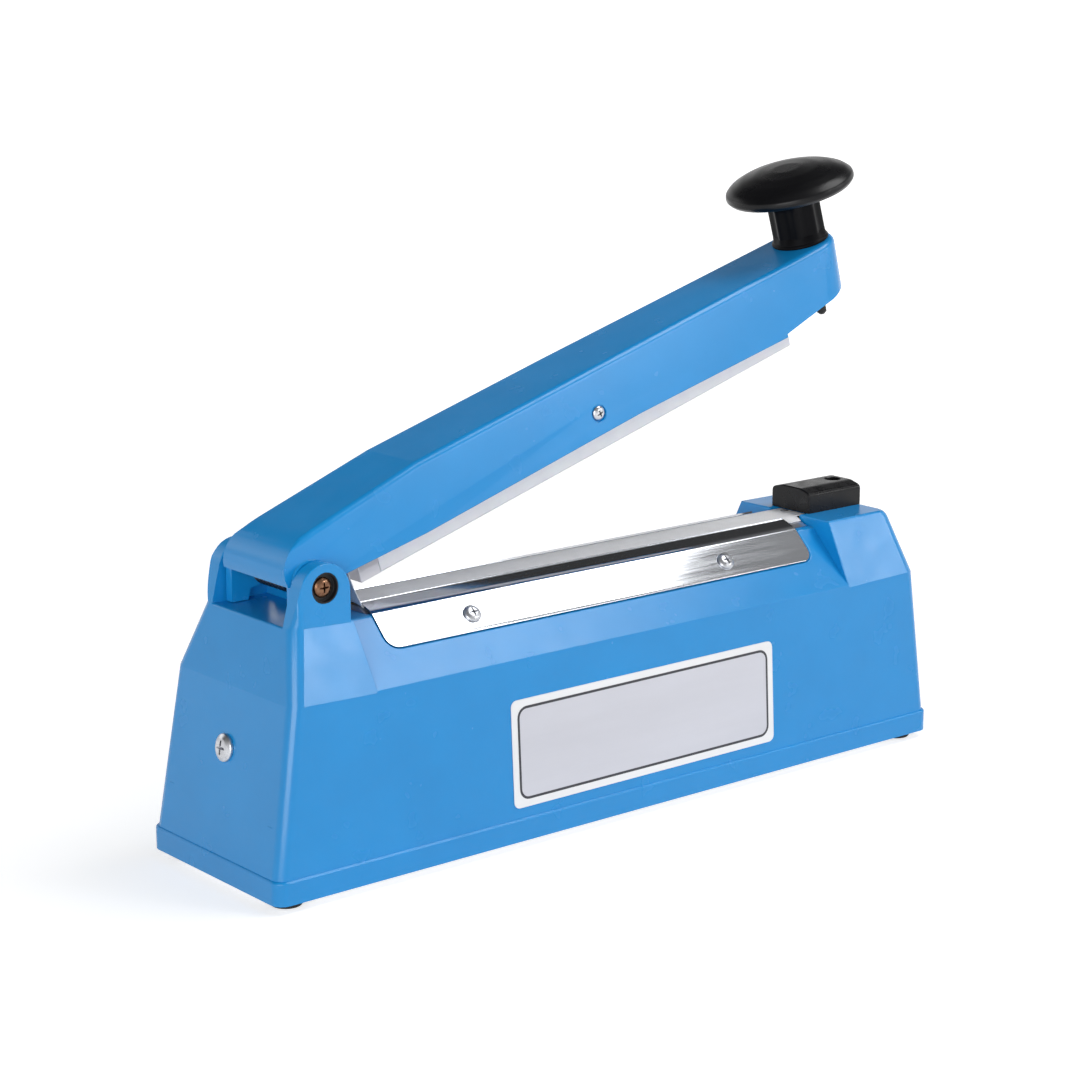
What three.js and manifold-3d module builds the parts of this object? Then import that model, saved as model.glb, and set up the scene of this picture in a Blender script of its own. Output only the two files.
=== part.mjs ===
// Hand impulse bag sealer: a blue base with a clamped sealing bed, and a sprung arm with a press bar.
// Millimetres, +Z up. X runs along the base with the hinge at the low end, Y across it.
// The origin is on the table, under the middle of the base; heights below are counted from the rim's underside.

import * as THREE from "three";
import { mergeVertices } from "three/addons/utils/BufferGeometryUtils.js";
import Module from "manifold-3d";

const wasm = await Module();
wasm.setup();

// Gaps shared by all pieces
const fit = 0.3;
const film = 0.05;
const overrun = 5;
const weldDistance = 0.0001;

// Base housing
const baseLength = 320;
const baseWidth = 81.7;
const rimHeight = 8.6;
const rimLedge = 0.8;
const roofHeight = 87.6;
const roofWidth = 33.4;
const shoulderDrop = 20.4;
const shoulderInset = 3.75;
const hingeEndLean = 9.4;
const frontEndLean = 5.6;
const cornerRadius = 4.6;
const wall = 3;
const blockRise = 3.6;
const hingeBlockEndInset = 16.9;
const hingeBlockLength = 25.1;
const hingeBlockSplay = 3.3;
const frontBlockWidth = 50;
const frontBlockEndInset = 9.4;
const frontBlockLength = 35.6;
const frontBlockRounding = 3.5;
const stepRadius = 0.4;

// Hinge: ears on the housing, bolt through them
const pinInset = 13.7;
const pinRise = 12.8;
const earRadius = 10.5;
const earCentreDrop = 2;
const earThickness = 6;
const earGap = 1.3;
const earCounterboreRadius = 5.5;
const earCounterboreDepth = 2.4;
const hingeBoltRadius = 2.5;
const hingeBoltHeadRadius = 3.9;
const hingeBoltHeadHeight = 2;
const hingeNutWidth = 8;
const hingeNutHeight = 3.2;

// Return spring round the hinge bolt
const springRadius = 4.6;
const springWire = 1.6;
const springWidth = 17.6;
const springTurns = 8;
const springLowerLeg = 11;
const springUpperLeg = 13;
const springRibLength = 4;
const springRibWidth = 5;

// Base plate, feet and their screws
const plateThickness = 1.5;
const plateRebate = 1.5;
const footRadius = 6;
const footDrop = 3;
const footInset = 9.5;
const footTaper = 0.7;
const cornerBossRadius = 6.2;
const cornerBossHeight = 26;
const footScrewRadius = 1.5;
const footScrewLength = 14;
const footScrewHeadRadius = 2.9;
const footScrewHeadHeight = 1.5;
const footCounterboreRadius = 3.4;
const footCounterboreDepth = 1.9;
const ventLength = 20;
const ventWidth = 3;
const ventPitch = 7;
const ventCount = 6;
const ventFieldX = 92;

// Sealing bed: core, insulation, band wire and cloth
const bedRise = 2.9;
const bedHingeGap = 11.7;
const bedFrontGap = 0.7;
const clothThickness = 0.35;
const clothTailHeight = 12;
const clothTailLean = 4.5;
const clothTailFootWidth = 23;
const clothTailTopWidth = 17;
const clothUnderCover = 1.6;
const clothSkirt = 3.6;
const bandWidth = 2.4;
const bandThickness = 0.2;
const insulationWidth = 10;
const insulationThickness = 0.3;

// Side plates that clamp the cloth
const sidePlateHingeInset = 1.3;
const sidePlateFrontInset = 8.8;
const sidePlateThickness = 0.8;
const sidePlateLipRise = 1.1;
const sidePlateEdgeRise = 0.5;
const sidePlateEdgeWidth = 17.4;
const sidePlateDrop = 10.1;
const sidePlateCornerRadius = 5;
const plateScrewX = 62;
const plateScrewDrop = 5.2;
const plateScrewRadius = 1.7;
const plateScrewHeadRadius = 3.9;
const plateScrewHeadHeight = 1.7;
const plateScrewLength = 11;
const plateBossRadius = 4.2;
const plateBossLength = 9;

// Terminals of the band wire
const terminalLength = 7;
const terminalWidth = 9;
const terminalScrewRadius = 1.2;
const terminalScrewHeadRadius = 2.4;
const terminalScrewHeadHeight = 1.3;
const terminalScrewLength = 6;
const frontNotchLength = 8;
const frontNotchWidth = 17;

// Switch cover and microswitch
const coverGap = 3.6;
const coverEndInset = 2.4;
const coverWidth = 21.6;
const coverHeight = 9.6;
const coverShoulder = 8;
const coverWall = 1.8;
const coverEdgeRadius = 2.2;
const coverHoleInset = 5.6;
const coverHoleRadius = 3.2;
const coverArchHeight = 2.2;
const coverArchWidth = 15;
const switchLength = 19.8;
const switchWidth = 6.4;
const switchStand = 4.2;
const switchHeight = 10.2;
const switchNose = 2.3;
const buttonRadius = 1.5;
const buttonStand = 1.6;
const buttonDepth = 1.1;
const buttonTravel = 1;
const bracketSheet = 1;
const bracketLength = 14;
const bracketFlange = 7;

// Arm, drawn shut: heights are counted from the hinge axis, lengths from it along the arm
const openAngleDegrees = 15.35;
const armUnderside = 0.4;
const armHeelSag = 2.4;
const armSag = 3;
const armSagX = 50;
const armSagEndX = 155;
const armTopWidth = 28.6;
const armFootWidth = 41;
const armWall = 2.5;
const armFrontHeight = 26.6;
const armBendX = 56;
const armBendHeight = 21.1;
const armHeelX = 7;
const armHeelHeight = 16;
const armHeelCrownX = -7.4;
const armHeelCrownHeight = 14.7;
const armTailX = -9.3;
const armTailHeight = 2.6;
const armTailTopHeight = 5.6;
const armTailFootX = -3;
const armCrown = 0.5;
const armStepInset = 46.5;
const armStepHeight = 1.8;
const armNoseInset = 12;
const armNoseHeight = 6.6;
const armNoseTipHeight = 8;
const armNoseLean = 2;
const lugRadius = 8.4;
const lugThickness = 3.6;
const heelStopRear = 8.4;
const heelStopFront = 1.6;

// Press knob on the arm
const knobInset = 12.7;
const knobFlangeRadius = 12.4;
const knobFlangeHeight = 1.6;
const knobStemRadius = 10.4;
const knobStemHeight = 18;
const knobFluteRadius = 3.4;
const knobFluteDepth = 1.1;
const knobFluteCount = 8;
const knobRadius = 25.6;
const knobUnderside = 20.6;
const knobRimHeight = 24.2;
const knobTop = 30.4;
const knobBossRadius = 6;
const knobBossDrop = 7;
const knobScrewRadius = 2;
const knobScrewHeadRadius = 3.6;
const knobScrewHeadHeight = 2.6;
const knobScrewReach = 12;

// Switch pin under the arm's nose
const pinRodRadius = 2;
const pinHeadRadius = 2.9;
const pinHeadHeight = 1.2;
const pinShelfHeight = 8.4;
const pinShelfThickness = 3.4;
const pinShelfWidth = 7.6;
const pinTipGap = 0.5;

// Press bar: holder and silicone strip, pivoted in the arm
const pivotForward = -0.4;
const pivotHeight = 7.5;
const barTiltDegrees = 1.4;
const barGap = 0.35;
const barRearX = 27.4;
const barFrontInset = 33.2;
const stripRearX = 36.6;
const stripWidth = 11.2;
const stripChamfer = 0.9;
const stripNeckWidth = 6.6;
const channelWidth = 14;
const channelWall = 1.5;
const channelRise = 11.9;
const channelHeight = 6;
const pivotTubeRadius = 4.2;
const pivotScrewRadius = 1.5;
const pivotScrewHeadRadius = 2.75;
const pivotScrewHeadHeight = 1.6;
const pivotSpotRadius = 3.4;
const pivotSpotDepth = 0.9;
const pivotNutWidth = 5.5;
const pivotNutHeight = 2.4;

// Controls on the far side: timer, lamp, fuse holder and cord gland
const timerEndInset = 62;
const timerBelowMiddle = 0.9;
const timerWellRadius = 15.5;
const timerWellDepth = 5;
const timerKnobRadius = 12;
const timerKnobSkirtRadius = 13;
const timerKnobHeight = 10;
const timerKnobRecess = 4.4;
const timerKnobGripCount = 12;
const timerKnobGripRadius = 1.1;
const timerShaftRadius = 3;
const timerBushRadius = 3.9;
const timerBushReach = 3.2;
const timerCanRadius = 8.5;
const timerCanLength = 8;
const timerNutWidth = 11;
const timerNutHeight = 2.2;
const lampOffset = 32;
const lampRadius = 4.2;
const lampBezelRadius = 6;
const lampBezelHeight = 1.4;
const lampDome = 3;
const lampBodyLength = 9;
const fuseEndInset = 70;
const fuseHeight = 24;
const fuseRadius = 5.6;
const fuseCapRadius = 7.6;
const fuseCapHeight = 5;
const fuseBodyLength = 30;
const glandEndInset = 40;
const glandHeight = 24;
const glandRadius = 6;
const glandFlangeRadius = 9;
const glandFlangeHeight = 2.4;
const glandNoseRadius = 6.6;
const glandNoseHeight = 5;
const glandBoreRadius = 3.6;
const glandLength = 12;
const glandNutWidth = 18;
const glandNutHeight = 4;
const spotDepth = 0.9;

// Timer board with its parts
const boardLength = 62;
const boardHeight = 46;
const boardThickness = 1.6;
const boardBelowTimer = 24;
const boardBeforeTimer = 44;
const relayLength = 19;
const relayDepth = 15;
const relayHeight = 15;
const capacitorRadius = 5;
const capacitorLength = 16;

// Transformer on the base plate
const transformerX = -22;
const coreLength = 60;
const coreHeight = 50;
const coreStack = 30;
const coreLimb = 10;
const windingHeight = 29.4;
const windingReach = 7.5;
const windingRounding = 4;
const strapSheet = 1.2;
const strapWidth = 14;
const strapFoot = 11;
const strapScrewRadius = 2;
const strapScrewHeadRadius = 3.8;
const strapScrewHeadHeight = 2.4;

// Screw and nut in the hinge end wall
const endScrewHeight = 45;
const endScrewRadius = 2;
const endScrewHeadRadius = 5;
const endScrewHeadHeight = 2.4;
const endScrewLength = 10;
const endNutWidth = 7;
const endNutHeight = 3.2;

// Blank label on the near wall
const labelMiddleX = 7.3;
const labelLength = 129.5;
const labelRimMargin = 3.9;
const labelShoulderMargin = 14.7;
const labelThickness = 0.3;
const labelCornerRadius = 2.5;

// Cross recess of every screw, as shares of its head
const crossWidthShare = 0.24;
const crossLengthShare = 1.25;
const crossDepthShare = 0.45;
const headCrownShare = 0.6;

// Dome of the press knob: shares of its radius and of its rise
const knobDomeShares = [
  [0.88, 0.4],
  [0.7, 0.72],
  [0.45, 0.92],
  [0.2, 0.99],
];

// Counts of facets
const cornerSteps = 4;
const fineSides = 32;
const plainSides = 24;
const screwSides = 12;
const wireSides = 5;
const stepsPerCurl = 8;
const arcSteps = 5;

// Heights and lengths that follow from the sizes above
const halfLength = baseLength / 2;
const shoulderHeight = roofHeight - shoulderDrop;
const shoulderWidth = baseWidth - 2 * shoulderInset;
const blockTop = roofHeight + blockRise;
const wallMiddle = (rimHeight + shoulderHeight) / 2;
const hingeBlockEndX = hingeBlockEndInset - halfLength;
const hingeBlockTopX = hingeBlockEndX + hingeBlockLength;
const hingeBlockFootX = hingeBlockTopX + hingeBlockSplay;
const frontBlockEndX = halfLength - frontBlockEndInset;
const frontBlockX = frontBlockEndX - frontBlockLength;
const pinX = hingeBlockEndX + pinInset;
const pinHeight = blockTop + pinRise;
const bedTop = roofHeight + bedRise;
const bedLowX = hingeBlockFootX + bedHingeGap;
const bedHighX = frontBlockX - bedFrontGap;
const sidePlateLowX = bedLowX + sidePlateHingeInset;
const sidePlateHighX = bedHighX - sidePlateFrontInset;
const sidePlateLipHeight = roofHeight + sidePlateLipRise;
const sidePlateEdgeHeight = bedTop + sidePlateEdgeRise;
const sidePlateFootHeight = roofHeight - sidePlateDrop;
const plateScrewHeight = roofHeight - plateScrewDrop;
const coverLowX = frontBlockX + coverGap;
const coverHighX = frontBlockEndX - coverEndInset;
const coverHoleX = coverHighX - coverHoleInset;
const clothFrontX = coverLowX + clothUnderCover;
const switchTop = blockTop + switchStand;
const armReach = frontBlockEndX - pinX;
const armStepX = armReach - armStepInset;
const armNoseX = armReach - armNoseInset;
const knobX = armReach - knobInset;
const barFrontX = armReach - barFrontInset;
const pivotX = (barRearX + barFrontX) / 2 + pivotForward;
const channelFoot = bedTop + channelRise;
const timerX = halfLength - timerEndInset;
const timerHeight = wallMiddle - timerBelowMiddle;
const lampX = timerX - lampOffset;
const lampHeight = timerHeight;
const fuseX = fuseEndInset - halfLength;
const glandX = glandEndInset - halfLength;
const labelLowHeight = rimHeight + labelRimMargin;
const labelHighHeight = shoulderHeight - labelShoulderMargin;
const labelMiddleHeight = (labelLowHeight + labelHighHeight) / 2;
const labelHeight = labelHighHeight - labelLowHeight;

const openAngle = THREE.MathUtils.degToRad(openAngleDegrees);
const barTilt = THREE.MathUtils.degToRad(barTiltDegrees);
const quarterTurn = Math.PI / 2;
const alongBase = new THREE.Vector3(1, 0, 0);
const across = new THREE.Vector3(0, 1, 0);
const upright = new THREE.Vector3(0, 0, 1);

// Materials
function finish(color, roughness, metalness) {
  return new THREE.MeshStandardMaterial({ color, roughness, metalness });
}
const bluePlastic = finish(0x3f97d4, 0.35, 0);
const blackPlastic = finish(0x151517, 0.4, 0);
const blackRubber = finish(0x1b1b1c, 0.8, 0);
const polishedSteel = finish(0xc9ccd2, 0.12, 1);
const zincSteel = finish(0xb8bcc4, 0.3, 1);
const bronzedSteel = finish(0x8a5a3a, 0.35, 1);
const springSteel = finish(0x55585e, 0.3, 1);
const aluminium = finish(0xb4b6bb, 0.35, 1);
const brass = finish(0xc8a24c, 0.3, 1);
const cloth = finish(0xcdcdd0, 0.6, 0);
const whiteSilicone = finish(0xeff0f2, 0.5, 0);
const fibre = finish(0x9a7b55, 0.8, 0);
const copper = finish(0xa9572b, 0.4, 1);
const ironCore = finish(0x6d7076, 0.5, 1);
const greenBoard = finish(0x1f6b3c, 0.5, 0);
const blueRelay = finish(0x2a5ea8, 0.4, 0);
const redLens = finish(0xd2231c, 0.15, 0);

// Solids from three.js geometry

// Welds a closed geometry and gives it to the library that joins and cuts.
function solid(geometry) {
  const bare = new THREE.BufferGeometry();
  bare.setAttribute("position", geometry.getAttribute("position"));
  bare.setIndex(geometry.getIndex());
  const welded = mergeVertices(bare, weldDistance);
  const corners = welded.getIndex().array;
  const kept = [];
  for (let i = 0; i < corners.length; i += 3) {
    const [a, b, c] = [corners[i], corners[i + 1], corners[i + 2]];
    if (a !== b && b !== c && c !== a) {
      kept.push(a, b, c);
    }
  }
  return new wasm.Manifold(
    new wasm.Mesh({
      numProp: 3,
      vertProperties: Float32Array.from(welded.getAttribute("position").array),
      triVerts: Uint32Array.from(kept),
    }),
  );
}

function join(first, ...others) {
  return others.reduce((whole, piece) => whole.add(piece), first);
}

function cut(body, ...tools) {
  return tools.reduce((whole, tool) => whole.subtract(tool), body);
}

function box(xLow, xHigh, yLow, yHigh, zLow, zHigh) {
  const geometry = new THREE.BoxGeometry(xHigh - xLow, yHigh - yLow, zHigh - zLow);
  geometry.translate((xLow + xHigh) / 2, (yLow + yHigh) / 2, (zLow + zHigh) / 2);
  return solid(geometry);
}

const towardsX = new THREE.Matrix4().makeBasis(
  new THREE.Vector3(0, 1, 0),
  new THREE.Vector3(0, 0, 1),
  new THREE.Vector3(1, 0, 0),
);
const towardsLowY = new THREE.Matrix4().makeBasis(
  new THREE.Vector3(1, 0, 0),
  new THREE.Vector3(0, 0, 1),
  new THREE.Vector3(0, -1, 0),
);

function outline(points) {
  return new THREE.Shape(points.map(([a, b]) => new THREE.Vector2(a, b)));
}

function extrusion(shape, depth) {
  return new THREE.ExtrudeGeometry(shape, { depth, bevelEnabled: false, curveSegments: arcSteps });
}

// A section in Y and Z, run along X.
function prismX(points, xLow, xHigh) {
  const geometry = extrusion(outline(points), xHigh - xLow);
  geometry.applyMatrix4(towardsX);
  geometry.translate(xLow, 0, 0);
  return solid(geometry);
}

// A side view in X and Z, run along Y.
function prismY(points, yLow, yHigh) {
  const geometry = extrusion(outline(points), yHigh - yLow);
  geometry.applyMatrix4(towardsLowY);
  geometry.translate(0, yHigh, 0);
  return solid(geometry);
}

// A plan in X and Y, run up along Z.
function prismZ(points, zLow, zHigh) {
  const geometry = extrusion(outline(points), zHigh - zLow);
  geometry.translate(0, 0, zLow);
  return solid(geometry);
}

function arc(centreA, centreB, radius, from, to, steps) {
  return Array.from({ length: steps + 1 }, (_, i) => {
    const angle = from + ((to - from) * i) / steps;
    return [centreA + radius * Math.cos(angle), centreB + radius * Math.sin(angle)];
  });
}

// One level of an upright block: a rectangle with a radius at its low and its high end.
function level(z, xLow, xHigh, halfWidth, lowRadius, highRadius, steps = cornerSteps) {
  const corners = [
    [xHigh - highRadius, halfWidth - highRadius, highRadius, 0],
    [xLow + lowRadius, halfWidth - lowRadius, lowRadius, 1],
    [xLow + lowRadius, lowRadius - halfWidth, lowRadius, 2],
    [xHigh - highRadius, highRadius - halfWidth, highRadius, 3],
  ];
  return corners.flatMap(([x, y, radius, turn]) =>
    arc(x, y, radius, turn * quarterTurn, (turn + 1) * quarterTurn, steps).map(
      ([px, py]) => new THREE.Vector3(px, py, z),
    ),
  );
}

// Skins a stack of rings, each turning left as seen from the last ring, and closes both ends.
function loft(rings) {
  const count = rings[0].length;
  const positions = rings.flatMap((ring) => ring.flatMap((point) => point.toArray()));
  const faces = [];
  for (let row = 0; row + 1 < rings.length; row += 1) {
    for (let i = 0; i < count; i += 1) {
      const a = row * count + i;
      const b = row * count + ((i + 1) % count);
      faces.push(a, b, b + count, a, b + count, a + count);
    }
  }
  const last = (rings.length - 1) * count;
  for (let i = 1; i + 1 < count; i += 1) {
    faces.push(0, i + 1, i, last, last + i, last + i + 1);
  }
  const geometry = new THREE.BufferGeometry();
  geometry.setAttribute("position", new THREE.Float32BufferAttribute(positions, 3));
  geometry.setIndex(faces);
  return solid(geometry);
}

// Turned piece: radius and height pairs, listed upwards, starting and ending on the axis.
function turnedGeometry(profile, sides) {
  const points = profile.map(([radius, height]) => new THREE.Vector2(radius, height));
  const geometry = new THREE.LatheGeometry(points, sides);
  geometry.rotateX(quarterTurn);
  return geometry;
}

function turned(profile, sides) {
  return solid(turnedGeometry(profile, sides));
}

function rodGeometry(radius, zLow, zHigh, sides) {
  return turnedGeometry(
    [
      [0, zLow],
      [radius, zLow],
      [radius, zHigh],
      [0, zHigh],
    ],
    sides,
  );
}

function rod(radius, zLow, zHigh, sides = plainSides) {
  return solid(rodGeometry(radius, zLow, zHigh, sides));
}

// A round bar from one point to a distance along a direction.
function bar(radius, start, direction, length, sides = plainSides) {
  const geometry = rodGeometry(radius, 0, length, sides);
  geometry.applyQuaternion(new THREE.Quaternion().setFromUnitVectors(upright, direction));
  geometry.translate(start.x, start.y, start.z);
  return solid(geometry);
}

// A bar across the machine, at a place seen from the side.
function crossBar(radius, x, z, yLow, yHigh, sides = plainSides) {
  return bar(radius, new THREE.Vector3(x, yLow, z), across, yHigh - yLow, sides);
}

function hexagon(acrossFlats, zLow, zHigh, boreRadius) {
  const cornerRadius6 = acrossFlats / 2 / Math.cos(Math.PI / 6);
  return cut(rod(cornerRadius6, zLow, zHigh, 6), rod(boreRadius, zLow - overrun, zHigh + overrun, screwSides));
}

// Pan head screw with a cross recess: the head stands on the level 0, the shank hangs below it.
function screw(headRadius, headHeight, shankRadius, length) {
  const body = turned(
    [
      [0, -length],
      [shankRadius, -length],
      [shankRadius, 0],
      [headRadius, 0],
      [headRadius, headHeight * headCrownShare],
      [headRadius * headCrownShare, headHeight],
      [0, headHeight],
    ],
    screwSides,
  );
  const halfSlot = (headRadius * crossWidthShare) / 2;
  const halfCross = (headRadius * crossLengthShare) / 2;
  const floor = headHeight * (1 - crossDepthShare);
  return cut(
    body,
    box(-halfCross, halfCross, -halfSlot, halfSlot, floor, headHeight + overrun),
    box(-halfSlot, halfSlot, -halfCross, halfCross, floor, headHeight + overrun),
  );
}

// The shared limits of a strip on the near (-1) or the far (1) side.
function sideBand(side, inner, outer) {
  return side > 0 ? [inner, outer] : [-outer, -inner];
}

// The same solid on the other side of the machine's middle plane.
function mirrored(body) {
  const mesh = body.getMesh();
  const geometry = new THREE.BufferGeometry();
  const positions = Array.from(mesh.vertProperties, (value, i) => (i % 3 === 1 ? -value : value));
  geometry.setAttribute("position", new THREE.Float32BufferAttribute(positions, 3));
  geometry.setIndex(Array.from(mesh.triVerts).reverse());
  return solid(geometry);
}

// Adds a solid as a named mesh and stands it at a place, turned from +Z to a direction.
function addPiece(group, name, shape, material, place, direction) {
  const mesh = shape.getMesh();
  const indexed = new THREE.BufferGeometry();
  indexed.setAttribute("position", new THREE.Float32BufferAttribute(mesh.vertProperties, 3));
  indexed.setIndex(Array.from(mesh.triVerts));
  const geometry = indexed.toNonIndexed();
  geometry.computeVertexNormals();
  const piece = new THREE.Mesh(geometry, material);
  piece.name = name;
  if (place) {
    piece.position.copy(place);
  }
  if (direction) {
    piece.quaternion.setFromUnitVectors(upright, direction);
  }
  group.add(piece);
  return piece;
}

const sealer = new THREE.Group();
sealer.position.z = footDrop;
const base = new THREE.Group();
sealer.add(base);

// Outer lines of the housing

const halfWidth = baseWidth / 2;
const halfShoulder = shoulderWidth / 2;
const halfRoof = roofWidth / 2;
const earInner = armFootWidth / 2 + earGap + fit;
const earOuter = earInner + earThickness;
const hingeBlockWidth = 2 * earOuter;
const hingeShoulderX = rimLedge + hingeEndLean - halfLength;
const frontShoulderX = halfLength - rimLedge - frontEndLean;
const draftHeight = shoulderHeight - rimHeight;

function slopeBetween(lowValue, highValue, lowHeight, highHeight) {
  return (highValue - lowValue) / (highHeight - lowHeight);
}

function between(lowValue, highValue, lowHeight, highHeight, height) {
  return lowValue + slopeBetween(lowValue, highValue, lowHeight, highHeight) * (height - lowHeight);
}

// Half the width of the drafted long walls at a height.
function wallHalf(height) {
  return between(halfWidth - rimLedge, halfShoulder, rimHeight, shoulderHeight, height);
}

// Half the width of the central roof facets at a height, also above the roof.
function facetHalf(height) {
  return between(halfShoulder, halfRoof, shoulderHeight, roofHeight, height);
}

function hingeFacetHalf(height) {
  return between(halfShoulder, hingeBlockWidth / 2, shoulderHeight, blockTop, height);
}

function frontFacetHalf(height) {
  return between(halfShoulder, frontBlockWidth / 2, shoulderHeight, blockTop, height);
}

const facetSlope = -slopeBetween(halfShoulder, halfRoof, shoulderHeight, roofHeight);
const hingeEndSlope = hingeEndLean / draftHeight;
const facetNormal = new THREE.Vector3(0, 1, facetSlope).normalize();

function housingOutside() {
  const rim = [
    level(0, -halfLength, halfLength, halfWidth, cornerRadius, cornerRadius),
    level(rimHeight, -halfLength, halfLength, halfWidth, cornerRadius, cornerRadius),
  ];
  const walls = [
    level(rimHeight, rimLedge - halfLength, halfLength - rimLedge, halfWidth - rimLedge, cornerRadius, cornerRadius),
    level(shoulderHeight, hingeShoulderX, frontShoulderX, halfShoulder, cornerRadius, cornerRadius),
  ];
  const roof = [
    level(shoulderHeight - wall, hingeBlockFootX - overrun, frontBlockX + overrun, halfShoulder, stepRadius, stepRadius),
    level(shoulderHeight, hingeBlockFootX - overrun, frontBlockX + overrun, halfShoulder, stepRadius, stepRadius),
    level(roofHeight, hingeBlockFootX - overrun, frontBlockX + overrun, halfRoof, stepRadius, stepRadius),
  ];
  const hingeBlock = [
    level(shoulderHeight - wall, hingeShoulderX, hingeBlockFootX, halfShoulder, cornerRadius, stepRadius),
    level(shoulderHeight, hingeShoulderX, hingeBlockFootX, halfShoulder, cornerRadius, stepRadius),
    level(blockTop, hingeBlockEndX, hingeBlockTopX, hingeBlockWidth / 2, cornerRadius, stepRadius),
  ];
  const frontBlock = [
    level(shoulderHeight - wall, frontBlockX, frontShoulderX, halfShoulder, stepRadius, cornerRadius),
    level(shoulderHeight, frontBlockX, frontShoulderX, halfShoulder, stepRadius, cornerRadius),
    ...arc(
      frontBlockEndX - frontBlockRounding,
      blockTop - frontBlockRounding,
      frontBlockRounding,
      0,
      quarterTurn,
      arcSteps,
    ).map(([x, z]) => level(z, frontBlockX, x, frontFacetHalf(z), stepRadius, cornerRadius)),
  ];
  return join(loft([...rim, ...walls]), loft(roof), loft(hingeBlock), loft(frontBlock));
}

// The hollow: the same stacks, moved in by the wall, with a mitre where two slopes meet.
function housingInside() {
  const slant = Math.hypot(1, facetSlope);
  const innerShoulder = shoulderHeight - (wall * (slant - 1)) / facetSlope;
  const innerHalf = wallHalf(innerShoulder) - wall;
  const innerRoof = roofHeight - wall;
  const hingeRoof = blockTop - wall;
  const frontRoof = blockTop - wall;
  const hingeX = hingeShoulderX + wall;
  const frontX = frontShoulderX - wall;
  const innerCorner = cornerRadius - wall / 2;
  const walls = [
    level(-overrun, wall - halfLength, halfLength - wall, halfWidth - wall, innerCorner, innerCorner),
    level(
      rimHeight,
      wall + rimLedge - halfLength,
      halfLength - wall - rimLedge,
      halfWidth - wall - rimLedge,
      innerCorner,
      innerCorner,
    ),
    level(innerShoulder, hingeX, frontX, innerHalf, innerCorner, innerCorner),
  ];
  const roof = [
    level(innerShoulder - wall, hingeX + wall, frontX - wall, innerHalf, stepRadius, stepRadius),
    level(innerShoulder, hingeX + wall, frontX - wall, innerHalf, stepRadius, stepRadius),
    level(innerRoof, hingeX + wall, frontX - wall, facetHalf(innerRoof) - wall * slant, stepRadius, stepRadius),
  ];
  const hingeHollow = [
    level(innerShoulder - wall, hingeX, hingeBlockTopX - wall, innerHalf, innerCorner, stepRadius),
    level(innerShoulder, hingeX, hingeBlockTopX - wall, innerHalf, innerCorner, stepRadius),
    level(
      hingeRoof,
      hingeBlockEndX + wall,
      hingeBlockTopX - wall,
      hingeFacetHalf(hingeRoof) - wall,
      innerCorner,
      stepRadius,
    ),
  ];
  const frontHollow = [
    level(innerShoulder - wall, frontBlockX + wall, frontX, innerHalf, stepRadius, innerCorner),
    level(innerShoulder, frontBlockX + wall, frontX, innerHalf, stepRadius, innerCorner),
    level(
      frontRoof,
      frontBlockX + wall,
      frontBlockEndX - frontBlockRounding,
      frontFacetHalf(frontRoof) - wall,
      stepRadius,
      innerCorner,
    ),
  ];
  return join(loft(walls), loft(roof), loft(hingeHollow), loft(frontHollow));
}

// Ears of the hinge

const earCentreHeight = pinHeight - earCentreDrop;

function earOutline() {
  const footX = hingeBlockEndX - pinX;
  const footZ = blockTop - earCentreHeight;
  const reach = Math.hypot(footX, footZ);
  const touch = Math.atan2(footZ, footX) + 2 * Math.PI - Math.acos(earRadius / reach);
  const sunk = blockTop - wall;
  return [
    [pinX + earRadius, sunk],
    ...arc(pinX, earCentreHeight, earRadius, 0, touch, 3 * arcSteps),
    [hingeBlockEndX, blockTop],
    [hingeBlockEndX, sunk],
  ];
}

function ear(side) {
  const [yLow, yHigh] = sideBand(side, earInner, earOuter);
  const [boreLow, boreHigh] = sideBand(side, earOuter - earCounterboreDepth, earOuter + overrun);
  const plan = (z) =>
    level(z, hingeBlockEndX, hingeBlockTopX + overrun, earOuter, cornerRadius, stepRadius, 2 * cornerSteps);
  const rounded = loft([plan(blockTop - overrun), plan(pinHeight + earRadius + overrun)]);
  return cut(
    prismY(earOutline(), yLow, yHigh).intersect(rounded),
    crossBar(hingeBoltRadius + fit, pinX, pinHeight, yLow - overrun, yHigh + overrun),
    crossBar(earCounterboreRadius, pinX, pinHeight, boreLow, boreHigh),
  );
}

// Side plates: bent sheet, flush in a recess of the roof facet

// Moves an open path to its right by a distance, with mitred corners.
function offsetPath(points, distance) {
  const normals = points.slice(1).map(([y, z], i) => {
    const [dy, dz] = [y - points[i][0], z - points[i][1]];
    const length = Math.hypot(dy, dz);
    return [dz / length, -dy / length];
  });
  return points.map(([y, z], i) => {
    const before = normals[Math.max(i - 1, 0)];
    const after = normals[Math.min(i, normals.length - 1)];
    const spread = 1 + before[0] * after[0] + before[1] * after[1];
    return [y + (distance * (before[0] + after[0])) / spread, z + (distance * (before[1] + after[1])) / spread];
  });
}

const sidePlatePath = [
  [-facetHalf(sidePlateFootHeight), sidePlateFootHeight],
  [-facetHalf(sidePlateLipHeight), sidePlateLipHeight],
  [-sidePlateEdgeWidth / 2, sidePlateEdgeHeight],
];
const sidePlateCentreX = (sidePlateLowX + sidePlateHighX) / 2;
const sidePlateHalfLength = (sidePlateHighX - sidePlateLowX) / 2;
const intoFacet = new THREE.Vector3(0, facetNormal.y, -facetNormal.z);
const downFacet = new THREE.Vector3(0, -facetNormal.z, -facetNormal.y);

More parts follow.
